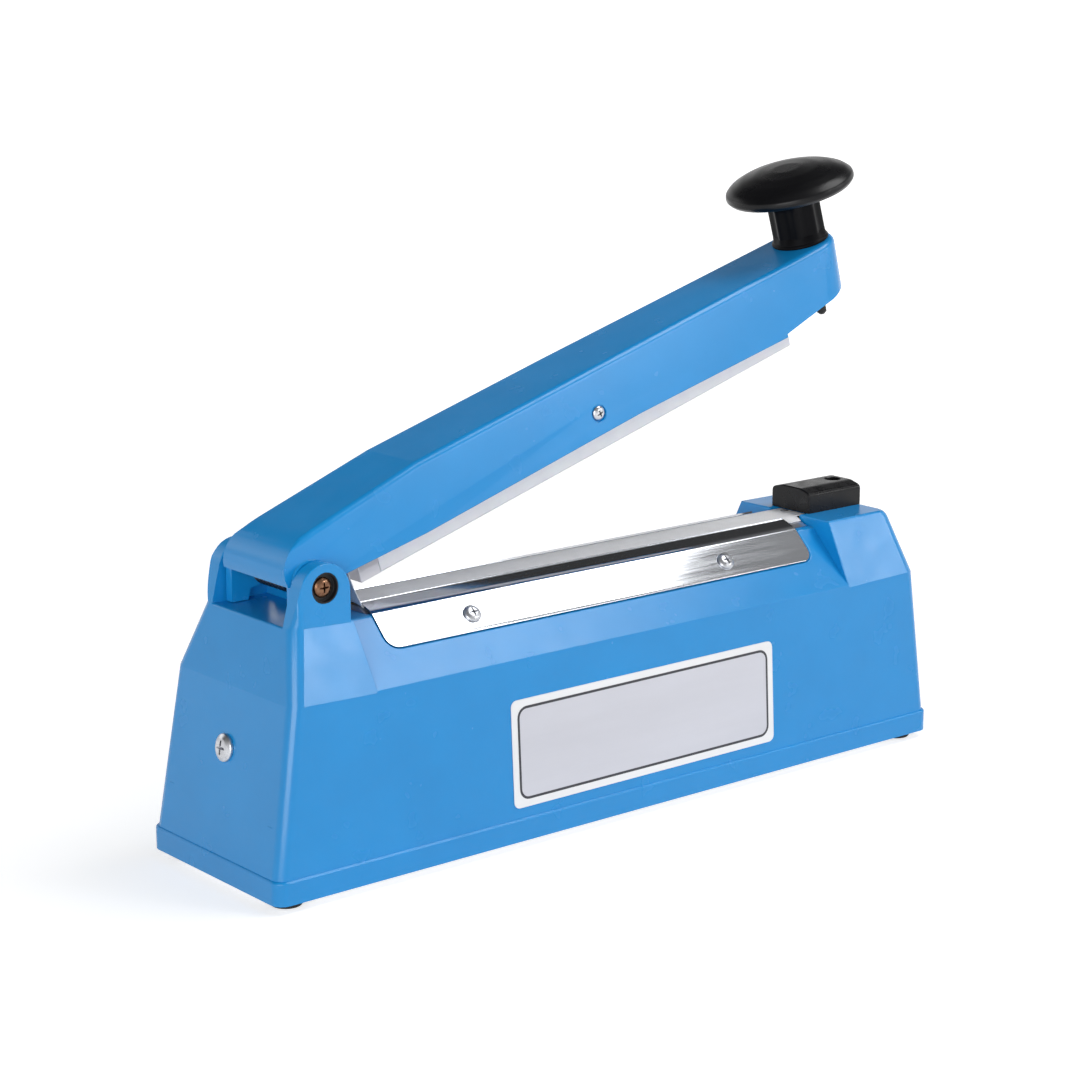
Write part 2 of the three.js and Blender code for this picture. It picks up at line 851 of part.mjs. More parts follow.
// The plan that trims a plate's lower corners, run through it square to the facet.
function sidePlateTrim(margin) {
  const half = sidePlateHalfLength + margin;
  const radius = sidePlateCornerRadius + margin;
  const foot = new THREE.Vector3(0, -facetHalf(sidePlateFootHeight), sidePlateFootHeight);
  const shape = outline([
    [-half, -baseWidth],
    [half, -baseWidth],
    ...arc(half - radius, margin - radius, radius, 0, quarterTurn, arcSteps),
    ...arc(radius - half, margin - radius, radius, quarterTurn, 2 * quarterTurn, arcSteps),
  ]);
  const geometry = extrusion(shape, baseWidth);
  geometry.translate(0, 0, -baseWidth / 2);
  geometry.applyMatrix4(new THREE.Matrix4().makeBasis(alongBase, downFacet, intoFacet));
  geometry.translate(sidePlateCentreX, foot.y, foot.z);
  return solid(geometry);
}

function sidePlateBlank(outside, inside, margin) {
  const [[footY, footZ], ...rest] = sidePlatePath;
  const below = [footY + overrun * downFacet.y, footZ + overrun * downFacet.z];
  const path = [below, ...rest];
  const section = [...offsetPath(path, -outside), ...offsetPath(path, inside).reverse()];
  return prismX(section, sidePlateLowX - overrun, sidePlateHighX + overrun).intersect(sidePlateTrim(margin));
}

const plateScrewY = facetHalf(plateScrewHeight);
const plateScrewPlaces = [-1, 1].flatMap((side) =>
  [-1, 1].map((end) => ({
    side,
    end,
    at: new THREE.Vector3(end * plateScrewX, side * plateScrewY, plateScrewHeight),
    normal: new THREE.Vector3(0, side * facetNormal.y, facetNormal.z),
  })),
);

function alongFrom(at, direction, distance) {
  return at.clone().addScaledVector(direction, distance);
}

function sidePlate() {
  const holes = plateScrewPlaces
    .filter(({ side }) => side < 0)
    .map(({ at, normal }) => bar(plateScrewRadius + fit, alongFrom(at, normal, -overrun), normal, 2 * overrun, screwSides));
  return cut(sidePlateBlank(0, sidePlateThickness, 0), ...holes);
}

// Housing

const footPlaces = [-1, 1].flatMap((end) =>
  [-1, 1].map((side) => ({
    name: `${end < 0 ? "hinge" : "front"}_${side < 0 ? "near" : "far"}`,
    x: end * (halfLength - footInset),
    y: side * (halfWidth - footInset),
  })),
);
const timerWall = wallHalf(timerHeight) - timerWellDepth;
const timerCupRadius = timerWellRadius + wall;
const timerCupFront = wallHalf(timerHeight + timerCupRadius) - fit;
const glandWall = wallHalf(glandHeight) - spotDepth;
const fuseWall = wallHalf(fuseHeight) - spotDepth;
const lampWall = wallHalf(lampHeight) - spotDepth;
const endNormal = new THREE.Vector3(-1, 0, hingeEndSlope).normalize();
const endScrewPlace = new THREE.Vector3(
  rimLedge - halfLength + hingeEndSlope * (endScrewHeight - rimHeight),
  0,
  endScrewHeight,
);

// A flat slab with the housing's plan, moved in by a distance.
function slab(zLow, zHigh, inset) {
  const radius = cornerRadius - inset;
  const plan = (z) => level(z, inset - halfLength, halfLength - inset, halfWidth - inset, radius, radius);
  return loft([plan(zLow), plan(zHigh)]);
}

const springRibTop = pinHeight - springRadius - springWire / 2 - fit;
const springLegY = springWidth / 2;
const plateScrewHoleLength = plateScrewLength + overrun;
const switchHighX = coverHoleX + switchNose;
const switchLowX = switchHighX - switchLength;

function housing() {
  const cornerBosses = footPlaces.map(({ x, y }) => {
    const geometry = rodGeometry(cornerBossRadius, plateThickness + film, cornerBossHeight, plainSides);
    geometry.translate(x, y, 0);
    return solid(geometry);
  });
  const plateBosses = plateScrewPlaces.map(({ at, normal }) =>
    bar(plateBossRadius, alongFrom(at, normal, -plateBossLength), normal, plateBossLength - wall / 2, screwSides),
  );
  const springRib = box(
    pinX + springLowerLeg - springRibLength,
    pinX + springLowerLeg,
    -springLegY - springRibWidth / 2,
    -springLegY + springRibWidth / 2,
    blockTop - wall / 2,
    springRibTop,
  );
  const timerCup = crossBar(timerCupRadius, timerX, timerHeight, timerWall - wall, timerCupFront, fineSides);
  const shell = join(cut(housingOutside(), housingInside()), ...cornerBosses, ...plateBosses);
  const plateRecess = () => sidePlateBlank(overrun, sidePlateThickness + fit, fit);
  const plateSeat = slab(-overrun, plateThickness + film, plateRebate);
  const frontNotch = box(
    frontBlockX - overrun,
    frontBlockX + frontNotchLength,
    -frontNotchWidth / 2,
    frontNotchWidth / 2,
    roofHeight,
    blockTop + overrun,
  );
  const switchWindow = box(
    switchLowX - fit,
    switchHighX + fit,
    -switchWidth / 2 - fit,
    switchWidth / 2 + fit,
    blockTop - 2 * overrun,
    blockTop + overrun,
  );
  const footScrewHoles = footPlaces.map(({ x, y }) => {
    const geometry = rodGeometry(footScrewRadius + fit, -overrun, footScrewLength + fit, screwSides);
    geometry.translate(x, y, 0);
    return solid(geometry);
  });
  const plateScrewHoles = plateScrewPlaces.map(({ at, normal }) =>
    bar(plateScrewRadius + fit, alongFrom(at, normal, -plateScrewLength - fit), normal, plateScrewHoleLength, screwSides),
  );
  const wallHole = (x, z, radius, face, spotRadius) => [
    crossBar(radius + fit, x, z, face - wall - overrun, face + overrun),
    crossBar(spotRadius + fit, x, z, face, face + overrun),
  ];
  return cut(
    join(shell, ear(-1), ear(1), springRib, timerCup),
    plateRecess(),
    mirrored(plateRecess()),
    plateSeat,
    frontNotch,
    switchWindow,
    ...footScrewHoles,
    ...plateScrewHoles,
    crossBar(timerWellRadius, timerX, timerHeight, timerWall, halfWidth, fineSides),
    crossBar(timerBushRadius + fit, timerX, timerHeight, timerWall - wall - overrun, halfWidth),
    ...wallHole(lampX, lampHeight, lampRadius, lampWall, lampBezelRadius),
    ...wallHole(fuseX, fuseHeight, fuseRadius, fuseWall, fuseCapRadius),
    ...wallHole(glandX, glandHeight, glandRadius, glandWall, glandFlangeRadius),
    bar(endScrewRadius + fit, alongFrom(endScrewPlace, endNormal, -overrun - wall), endNormal, 2 * overrun + wall),
  );
}

addPiece(base, "base_housing", housing(), bluePlastic);

// Label, flat on the drafted near wall
const wallNormal = new THREE.Vector3(0, -1, -slopeBetween(halfWidth - rimLedge, halfShoulder, rimHeight, shoulderHeight));
wallNormal.normalize();
const label = loft(
  [film, film + labelThickness].map((z) =>
    level(z, -labelLength / 2, labelLength / 2, labelHeight / 2, labelCornerRadius, labelCornerRadius),
  ),
);
const labelPlace = new THREE.Vector3(labelMiddleX, -wallHalf(labelMiddleHeight), labelMiddleHeight);
addPiece(base, "label_plate", label, aluminium, labelPlace, wallNormal);

// Base plate with its vents, and the feet

function basePlate() {
  const blank = slab(0, plateThickness, plateRebate + fit);
  const vents = [-1, 1].flatMap((end) =>
    Array.from({ length: ventCount }, (_, i) => {
      const middle = end * ventFieldX + (i - (ventCount - 1) / 2) * ventPitch;
      const reach = (ventLength - ventWidth) / 2;
      const slot = [
        ...arc(middle, reach, ventWidth / 2, 0, 2 * quarterTurn, arcSteps),
        ...arc(middle, -reach, ventWidth / 2, 2 * quarterTurn, 4 * quarterTurn, arcSteps),
      ];
      return prismZ(slot, -overrun, overrun);
    }),
  );
  const footHoles = footPlaces.map((place) => {
    const geometry = rodGeometry(footScrewRadius + fit, -overrun, overrun, screwSides);
    geometry.translate(place.x, place.y, 0);
    return solid(geometry);
  });
  const strapHoles = strapScrewPlaces.map((place) => {
    const geometry = rodGeometry(strapScrewRadius + fit, -overrun, overrun, screwSides);
    geometry.translate(place.x, place.y, 0);
    return solid(geometry);
  });
  return cut(blank, ...vents, ...footHoles, ...strapHoles);
}

const strapOuterX = coreLength / 2 + fit + strapSheet;
const strapScrewPlaces = [-1, 1].map((end) => new THREE.Vector3(transformerX + end * (strapOuterX + strapFoot / 2), 0, 0));

addPiece(base, "base_plate", basePlate(), zincSteel);

const foot = cut(
  turned(
    [
      [0, -footDrop],
      [footRadius - footTaper, -footDrop],
      [footRadius, -footTaper],
      [footRadius, -film],
      [0, -film],
    ],
    plainSides,
  ),
  rod(footCounterboreRadius, -footDrop - overrun, footCounterboreDepth - footDrop),
  rod(footScrewRadius + fit, -footDrop - overrun, overrun, screwSides),
);
const footScrew = screw(footScrewHeadRadius, footScrewHeadHeight, footScrewRadius, footScrewLength);
const footScrewSeat = footCounterboreDepth - footDrop - film;
for (const { name, x, y } of footPlaces) {
  addPiece(base, `foot_${name}`, foot, blackRubber, new THREE.Vector3(x, y, 0));
  const seat = new THREE.Vector3(x, y, footScrewSeat);
  addPiece(base, `foot_screw_${name}`, footScrew, zincSteel, seat, upright.clone().negate());
}

// Sealing bed

// The under side of a plate's lip, moved in by a distance, at a half width.
function lipHeightAt(half, inset) {
  const [, [lowY, lowZ], [highY, highZ]] = offsetPath(sidePlatePath, inset);
  return between(lowZ, highZ, lowY, highY, -half);
}

function lipHalfAt(height, inset) {
  const [, [lowY, lowZ], [highY, highZ]] = offsetPath(sidePlatePath, inset);
  return -between(lowY, highY, lowZ, highZ, height);
}

function mirroredSection(half) {
  return [...half, ...half.map(([y, z]) => [-y, z]).reverse()];
}

const clothTopInset = sidePlateThickness + fit / 2;
const clothUnderInset = clothTopInset + clothThickness;
const coreInset = clothUnderInset + fit / 2;
const clothUnder = bedTop - clothThickness;
const bandUnder = clothUnder - film - bandThickness;
const insulationTop = bandUnder - film;
const insulationUnder = insulationTop - insulationThickness;
const coreTop = insulationUnder - film;
const coreFloor = roofHeight + film;

const coreSection = mirroredSection([
  [-lipHalfAt(coreFloor, coreInset), coreFloor],
  [-lipHalfAt(coreTop, coreInset), coreTop],
]).reverse();
addPiece(base, "bed_core", prismX(coreSection, bedLowX, bedHighX), aluminium);

const insulation = box(
  bedLowX,
  bedHighX,
  -insulationWidth / 2,
  insulationWidth / 2,
  insulationUnder,
  insulationTop,
);
addPiece(base, "insulation_strip", insulation, fibre);

const hingeTerminalHighX = bedLowX - clothTailLean - fit - clothThickness;
const hingeTerminalLowX = hingeTerminalHighX - terminalLength;
const frontTerminalLowX = bedHighX + fit;
const frontTerminalHighX = frontTerminalLowX + terminalLength;
const terminalFloor = coreFloor;
const terminalTop = bandUnder - film;
const band = box(
  hingeTerminalLowX,
  frontTerminalHighX,
  -bandWidth / 2,
  bandWidth / 2,
  bandUnder,
  bandUnder + bandThickness,
);
addPiece(base, "heating_band", band, zincSteel);

// The cloth: flat over the bed, skirts under both plates, and a tail that stands up behind the press bar.
function bedCloth() {
  const skirtHalf = lipHalfAt(bedTop, clothTopInset) + clothSkirt;
  const upper = [
    [-skirtHalf, lipHeightAt(skirtHalf, clothTopInset)],
    [-lipHalfAt(bedTop, clothTopInset), bedTop],
  ];
  const lower = [
    [-skirtHalf, lipHeightAt(skirtHalf, clothUnderInset)],
    [-lipHalfAt(clothUnder, clothUnderInset), clothUnder],
  ];
  const section = [...mirroredSection(lower), ...mirroredSection(upper).reverse()];
  const sheet = prismX(section, bedLowX, bedHighX);
  const frontHalf = lipHalfAt(bedTop, clothTopInset);
  const front = box(bedHighX - clothThickness, clothFrontX, -frontHalf, frontHalf, clothUnder, bedTop);
  const tailTop = bedTop + clothTailHeight;
  const tailFace = mirroredSection([
    [-clothTailTopWidth / 2, tailTop],
    [-clothTailFootWidth / 2, clothUnder],
  ]);
  const tail = prismY(
    [
      [bedLowX, clothUnder],
      [bedLowX + clothThickness, clothUnder],
      [bedLowX + clothThickness, bedTop],
      [bedLowX - clothTailLean + clothThickness, tailTop],
      [bedLowX - clothTailLean, tailTop],
      [bedLowX, bedTop],
    ],
    -clothTailFootWidth,
    clothTailFootWidth,
  ).intersect(prismX(tailFace, bedLowX - clothTailLean - overrun, bedLowX + overrun));
  return join(sheet, front, tail);
}
addPiece(base, "bed_cloth", bedCloth(), cloth);

addPiece(base, "side_plate_near", sidePlate(), polishedSteel);
addPiece(base, "side_plate_far", mirrored(sidePlate()), polishedSteel);

const plateScrew = screw(plateScrewHeadRadius, plateScrewHeadHeight, plateScrewRadius, plateScrewLength);
for (const { side, end, at, normal } of plateScrewPlaces) {
  const name = `plate_screw_${side < 0 ? "near" : "far"}_${end < 0 ? "hinge" : "front"}`;
  addPiece(base, name, plateScrew, zincSteel, alongFrom(at, normal, film), normal);
}

// Terminals at both ends of the band

const terminalScrew = screw(
  terminalScrewHeadRadius,
  terminalScrewHeadHeight,
  terminalScrewRadius,
  terminalScrewLength,
);
const terminalSides = [
  ["hinge", hingeTerminalLowX, hingeTerminalHighX],
  ["front", frontTerminalLowX, frontTerminalHighX],
];
for (const [name, xLow, xHigh] of terminalSides) {
  const screwX = (xLow + xHigh) / 2;
  const screwY = (bandWidth + terminalWidth) / 4;
  const hole = rodGeometry(terminalScrewRadius + fit, terminalFloor - overrun, terminalTop + overrun, screwSides);
  hole.translate(screwX, screwY, 0);
  const block = cut(
    box(xLow, xHigh, -terminalWidth / 2, terminalWidth / 2, terminalFloor, terminalTop),
    solid(hole),
  );
  addPiece(base, `terminal_${name}`, block, brass);
}

// Switch cover, microswitch and its bracket

function coverSection(inset) {
  const half = coverWidth / 2 - inset;
  const radius = Math.max(coverEdgeRadius - inset, stepRadius);
  const shoulder = coverShoulder - inset;
  const crown = coverHeight - inset;
  return [
    [-half, 0],
    [half, 0],
    ...arc(half - radius, shoulder - radius, radius, 0, quarterTurn, cornerSteps),
    [half / 2, crown],
    [-half / 2, crown],
    ...arc(radius - half, shoulder - radius, radius, quarterTurn, 2 * quarterTurn, cornerSteps),
  ];
}

function switchCover() {
  const lift = ([y, z]) => [y, z + blockTop + film];
  const hollow = coverSection(coverWall).map(([y, z]) => [y, z === 0 ? -overrun : z]);
  const arch = arc(0, 0, coverArchWidth / 2, 0, 2 * quarterTurn, 2 * arcSteps).map(([y, z]) => [
    y,
    (z * coverArchHeight * 2) / coverArchWidth,
  ]);
  const archTool = [[-coverArchWidth / 2, -overrun], [coverArchWidth / 2, -overrun], ...arch];
  const hole = rodGeometry(coverHoleRadius, blockTop, blockTop + coverHeight + overrun, plainSides);
  hole.translate(coverHoleX, 0, 0);
  return cut(
    prismX(coverSection(0).map(lift), coverLowX, coverHighX),
    prismX(hollow.map(lift), coverLowX + coverWall, coverHighX - coverWall),
    prismX(archTool.map(lift), coverLowX - overrun, coverLowX + coverWall + overrun),
    solid(hole),
  );
}
addPiece(base, "switch_cover", switchCover(), blackPlastic);

const switchFloor = switchTop - switchHeight;
const buttonHole = rodGeometry(
  buttonRadius + fit,
  switchTop - buttonDepth - buttonTravel - fit,
  switchTop + overrun,
  screwSides,
);
buttonHole.translate(coverHoleX, 0, 0);
const switchBody = cut(
  box(switchLowX, switchHighX, -switchWidth / 2, switchWidth / 2, switchFloor, switchTop),
  solid(buttonHole),
);
addPiece(base, "microswitch_body", switchBody, blackPlastic);

const bracketTop = blockTop - wall - film;
const cheek = switchWidth / 2 + fit;
const bracketSection = [
  [-cheek - bracketFlange, bracketTop - bracketSheet],
  [-cheek - bracketSheet, bracketTop - bracketSheet],
  [-cheek - bracketSheet, switchFloor - film - bracketSheet],
  [cheek + bracketSheet, switchFloor - film - bracketSheet],
  [cheek + bracketSheet, bracketTop - bracketSheet],
  [cheek + bracketFlange, bracketTop - bracketSheet],
  [cheek + bracketFlange, bracketTop],
  [cheek, bracketTop],
  [cheek, switchFloor - film],
  [-cheek, switchFloor - film],
  [-cheek, bracketTop],
  [-cheek - bracketFlange, bracketTop],
];
const bracketLowX = (switchLowX + switchHighX - bracketLength) / 2;
addPiece(base, "switch_bracket", prismX(bracketSection, bracketLowX, bracketLowX + bracketLength), zincSteel);

const buttonTop = switchTop + buttonStand;
const button = turned(
  [
    [0, switchTop - buttonDepth],
    [buttonRadius, switchTop - buttonDepth],
    [buttonRadius, buttonTop - buttonRadius / 3],
    [(buttonRadius * 2) / 3, buttonTop],
    [0, buttonTop],
  ],
  screwSides,
);
addPiece(base, "microswitch_button", button, redLens, new THREE.Vector3(coverHoleX, 0, 0));

// Hinge bolt, nut and return spring

const boltSeat = earOuter - earCounterboreDepth + film;
const boltLength = 2 * earOuter + hingeNutHeight - 2 * earCounterboreDepth + film;
const hingePlace = new THREE.Vector3(pinX, -boltSeat, pinHeight);
const nearWards = across.clone().negate();
const hingeBolt = screw(hingeBoltHeadRadius, hingeBoltHeadHeight, hingeBoltRadius, boltLength);
addPiece(base, "hinge_bolt", hingeBolt, bronzedSteel, hingePlace, nearWards);
const hingeNut = hexagon(hingeNutWidth, 0, hingeNutHeight, hingeBoltRadius + fit);
addPiece(base, "hinge_nut", hingeNut, zincSteel, new THREE.Vector3(pinX, boltSeat, pinHeight), across);

// The spring's centre line: a leg on the housing's rib, the curls, and a leg under the arm's rib.
function springRings() {
  const start = -quarterTurn;
  const sweep = springTurns * 4 * quarterTurn - 2 * quarterTurn - openAngle;
  const steps = Math.round((sweep / (4 * quarterTurn)) * stepsPerCurl);
  const stations = [{ angle: start, y: -springLegY, leg: springLowerLeg }];
  for (let i = 0; i <= steps; i += 1) {
    const share = i / steps;
    stations.push({ angle: start - sweep * share, y: springLegY * (2 * share - 1), leg: 0 });
  }
  stations.push({ angle: start - sweep, y: springLegY, leg: springUpperLeg });
  return stations.map(({ angle, y, leg }, i) => {
    const radial = new THREE.Vector3(Math.cos(angle), 0, Math.sin(angle));
    const forward = new THREE.Vector3(Math.sin(angle), 0, -Math.cos(angle));
    const centre = new THREE.Vector3(pinX, y, pinHeight).addScaledVector(radial, springRadius);
    centre.addScaledVector(forward, i === 0 ? -leg : leg);
    const ring = arc(0, 0, springWire / 2, 0, 4 * quarterTurn, wireSides).slice(0, wireSides);
    return {
      centre,
      points: ring.map(([a, b]) => centre.clone().addScaledVector(radial, a).addScaledVector(nearWards, b)),
    };
  });
}

// The least clear distance between stretches of the wire that are half a curl or more apart.
function leastSpringGap(rings) {
  let least = Infinity;
  rings.forEach(({ centre }, i) => {
    for (let k = i + stepsPerCurl / 2; k < rings.length; k += 1) {
      least = Math.min(least, centre.distanceTo(rings[k].centre) - springWire);
    }
  });
  return least;
}

const rings = springRings();
console.log(`return spring: least gap between curls ${leastSpringGap(rings).toFixed(2)} mm`);
addPiece(base, "return_spring", loft(rings.map(({ points }) => points)), springSteel);

// Screw and nut in the hinge end wall

const endScrew = screw(endScrewHeadRadius, endScrewHeadHeight, endScrewRadius, endScrewLength);
addPiece(base, "end_screw", endScrew, zincSteel, alongFrom(endScrewPlace, endNormal, film), endNormal);
const endNut = hexagon(endNutWidth, 0, endNutHeight, endScrewRadius + fit);
const endNutPlace = alongFrom(endScrewPlace, endNormal, -wall - fit - endNutHeight);
addPiece(base, "end_nut", endNut, zincSteel, endNutPlace, endNormal);

// Transformer, its strap and screws

const coreFloorZ = plateThickness + film;
const coreMiddle = coreFloorZ + coreHeight / 2;

function transformerCore() {
  const half = coreLength / 2;
  const windowHalf = (coreHeight - 2 * coreLimb) / 2;
  const blank = box(
    transformerX - half,
    transformerX + half,
    -coreStack / 2,
    coreStack / 2,
    coreFloorZ,
    coreFloorZ + coreHeight,
  );
  const windows = [-1, 1].map((end) => {
    const [xLow, xHigh] = sideBand(end, coreLimb, half - coreLimb);
    return box(
      transformerX + xLow,
      transformerX + xHigh,
      -coreStack,
      coreStack,
      coreMiddle - windowHalf,
      coreMiddle + windowHalf,
    );
  });
  return cut(blank, ...windows);
}

function transformerWinding() {
  const half = coreLength / 2 - coreLimb - fit;
  const depth = coreStack / 2 + windingReach;
  const ring = [-1, 1].map((end) =>
    level(
      coreMiddle + (end * windingHeight) / 2,
      transformerX - half,
      transformerX + half,
      depth,
      windingRounding,
      windingRounding,
    ),
  );
  const limb = box(
    transformerX - coreLimb - fit,
    transformerX + coreLimb + fit,
    -coreStack / 2 - fit,
    coreStack / 2 + fit,
    0,
    coreHeight + overrun,
  );
  return cut(loft(ring), limb);
}

function transformerStrap() {
  const inner = coreLength / 2 + fit;
  const top = coreFloorZ + coreHeight + fit;
  const floor = coreFloorZ;
  const half = [
    [-strapOuterX - strapFoot, floor],
    [-inner, floor],
    [-inner, top],
  ];
  const outside = [
    [-strapOuterX - strapFoot, floor + strapSheet],
    [-strapOuterX, floor + strapSheet],
    [-strapOuterX, top + strapSheet],
  ];
  const section = [...mirroredSection(half), ...mirroredSection(outside).reverse()];
  const placed = section.map(([x, z]) => [x + transformerX, z]);
  const holes = strapScrewPlaces.map(({ x, y }) => {
    const geometry = rodGeometry(strapScrewRadius + fit, 0, floor + strapSheet + overrun, screwSides);
    geometry.translate(x, y, 0);
    return solid(geometry);
  });
  return cut(prismY(placed, -strapWidth / 2, strapWidth / 2), ...holes);
}

addPiece(base, "transformer_core", transformerCore(), ironCore);
addPiece(base, "transformer_winding", transformerWinding(), copper);
addPiece(base, "transformer_strap", transformerStrap(), zincSteel);
const strapSeat = coreFloorZ + strapSheet + film;
const strapScrew = screw(strapScrewHeadRadius, strapScrewHeadHeight, strapScrewRadius, strapSeat);
strapScrewPlaces.forEach(({ x, y }, i) => {
  const name = `strap_screw_${i === 0 ? "hinge" : "front"}`;
  addPiece(base, name, strapScrew, zincSteel, new THREE.Vector3(x, y, strapSeat), upright);
});

// Timer: control with its bush and nut in the far wall, board behind it, knob outside

const canFront = timerWall - wall - fit;
const canBack = canFront - timerCanLength;
const bushFront = timerWall + timerBushReach;
const shaftBack = canFront - timerCanLength / 2;
const knobFace = timerWall + fit;
const timerPlace = new THREE.Vector3(timerX, 0, timerHeight);

function timerControl() {
  return cut(
    join(rod(timerCanRadius, canBack, canFront), rod(timerBushRadius, canFront - fit, bushFront)),
    rod(timerShaftRadius + fit, shaftBack, bushFront + overrun),
  );
}
addPiece(base, "timer_control", timerControl(), zincSteel, timerPlace, across);
const timerNut = hexagon(timerNutWidth, timerWall + film, timerWall + film + timerNutHeight, timerBushRadius + fit);
addPiece(base, "timer_nut", timerNut, zincSteel, timerPlace, across);

const boardFace = canBack - film;
const boardLowX = timerX - boardBeforeTimer;
const boardLowZ = timerHeight - boardBelowTimer;
const board = box(
  boardLowX,
  boardLowX + boardLength,
  boardFace - boardThickness,
  boardFace,
  boardLowZ,
  boardLowZ + boardHeight,
);
addPiece(base, "timer_board", board, greenBoard);

const boardBack = boardFace - boardThickness - film;
const partsInset = capacitorRadius / 2;
const relay = box(
  boardLowX + partsInset,
  boardLowX + partsInset + relayLength,
  boardBack - relayDepth,
  boardBack,
  boardLowZ + partsInset,
  boardLowZ + partsInset + relayHeight,
);
addPiece(base, "relay", relay, blueRelay);
const capacitorPlace = new THREE.Vector3(
  boardLowX + boardLength - partsInset - capacitorRadius,
  boardBack,
  boardLowZ + partsInset + capacitorRadius,
);
addPiece(base, "capacitor", rod(capacitorRadius, 0, capacitorLength), blackPlastic, capacitorPlace, nearWards);

const timerKnobGroup = new THREE.Group();
sealer.add(timerKnobGroup);

function timerKnob() {
  const face = knobFace + timerKnobHeight;
  const body = turned(
    [
      [0, knobFace],
      [timerKnobSkirtRadius, knobFace],
      [timerKnobSkirtRadius, knobFace + timerKnobHeight / 6],
      [timerKnobRadius, knobFace + timerKnobHeight / 4],
      [timerKnobRadius - timerKnobGripRadius, face],
      [0, face],
    ],
    2 * plainSides,
  );
  const grips = arc(0, 0, timerKnobRadius + timerKnobGripRadius / 3, 0, 4 * quarterTurn, timerKnobGripCount)
    .slice(1)
    .map(([x, y]) => {
      const geometry = rodGeometry(timerKnobGripRadius, knobFace + timerKnobHeight / 4, face + overrun, screwSides);
      geometry.translate(x, y, 0);
      return solid(geometry);
    });
  const recess = rod(timerNutWidth / 2 + 2 * coverWall, knobFace - overrun, knobFace + timerKnobRecess);
  const bore = rod(timerShaftRadius + fit, knobFace, face - coverWall);
  return cut(body, ...grips, recess, bore);
}
addPiece(timerKnobGroup, "timer_knob", timerKnob(), blackPlastic, timerPlace, across);
const shaftFront = knobFace + timerKnobHeight - coverWall - fit;
addPiece(timerKnobGroup, "timer_shaft", rod(timerShaftRadius, shaftBack + fit, shaftFront), zincSteel, timerPlace, across);

// Lamp, fuse holder and cord gland in the far wall

const lamp = turned(
  [
    [0, lampWall - lampBodyLength],
    [lampRadius, lampWall - lampBodyLength],
    [lampRadius, lampWall + film],
    [lampBezelRadius, lampWall + film],
    [lampBezelRadius, lampWall + lampBezelHeight],
    [lampRadius, lampWall + lampBezelHeight],
    [(lampRadius * 2) / 3, lampWall + lampBezelHeight + (lampDome * 2) / 3],
    [0, lampWall + lampBezelHeight + lampDome],
  ],
  plainSides,
);
addPiece(base, "indicator_lamp", lamp, redLens, new THREE.Vector3(lampX, 0, lampHeight), across);

const fuseHolder = turned(
  [
    [0, fuseWall - fuseBodyLength],
    [fuseRadius, fuseWall - fuseBodyLength],
    [fuseRadius, fuseWall + film],
    [fuseCapRadius, fuseWall + film],
    [fuseCapRadius, fuseWall + fuseCapHeight / 2],
    [fuseRadius, fuseWall + fuseCapHeight],
    [0, fuseWall + fuseCapHeight],
  ],
  plainSides,
);
addPiece(base, "fuse_holder", fuseHolder, blackPlastic, new THREE.Vector3(fuseX, 0, fuseHeight), across);

const glandPlace = new THREE.Vector3(glandX, 0, glandHeight);
const gland = cut(
  turned(
    [
      [0, glandWall - glandLength],
      [glandRadius, glandWall - glandLength],
      [glandRadius, glandWall + film],
      [glandFlangeRadius, glandWall + film],
      [glandFlangeRadius, glandWall + glandFlangeHeight],
      [glandNoseRadius, glandWall + glandFlangeHeight],
      [glandNoseRadius - film, glandWall + glandNoseHeight],
      [0, glandWall + glandNoseHeight],
    ],
    plainSides,
  ),
  rod(glandBoreRadius, glandWall - glandLength - overrun, glandWall + glandNoseHeight + overrun, plainSides),
);
addPiece(base, "cord_gland", gland, blackPlastic, glandPlace, across);
const glandNutTop = wallHalf(glandHeight + glandNutWidth) - wall - fit;
const glandNut = hexagon(glandNutWidth, glandNutTop - glandNutHeight, glandNutTop, glandRadius + fit);
addPiece(base, "gland_nut", glandNut, blackPlastic, glandPlace, across);

// Arm, drawn shut round the hinge axis and then opened

const arm = new THREE.Group();
arm.position.set(pinX, 0, pinHeight);
arm.rotation.y = -openAngle;
sealer.add(arm);

const armFootHalf = armFootWidth / 2;
const armTopHalf = armTopWidth / 2;

// Half the arm's width at a height above the hinge axis.
function armHalf(height) {
  return between(armFootHalf, armTopHalf, armUnderside, armFrontHeight, height);
}

// The side view, moved in by the wall's thickness for the hollow.
function armSide(inset) {
  const bottom = inset > 0 ? -overrun : 0;
  const rear = armTailX + inset;
  const front = armReach + overrun;
  const tip = [
    [rear, inset > 0 ? armUnderside - armSag - overrun : armTailHeight],
    [armTailFootX, armUnderside - armHeelSag + bottom],
    [armSagX, armUnderside - armSag + bottom],
    [armSagEndX, armUnderside + bottom],
    [armStepX, armUnderside + bottom],
    [armStepX, armStepHeight + bottom],
    [armNoseX, armNoseHeight + bottom],
    [front, armNoseTipHeight + bottom],
  ];
  const heel = new THREE.QuadraticBezierCurve(
    new THREE.Vector2(armHeelX + inset / 2, armHeelHeight - inset),
    new THREE.Vector2(armHeelCrownX + inset, armHeelCrownHeight - inset),
    new THREE.Vector2(rear, armTailTopHeight - inset / 2),
  );
  const top = [
    [front, armFrontHeight + knobSlope * overrun - inset],
    [armMiddleX, armMiddleHeight - inset],
    [armBendX, armBendHeight - inset],
    ...heel.getPoints(arcSteps + 1).map(({ x, y }) => [x, y]),
  ];
  return [...tip, ...top];
}

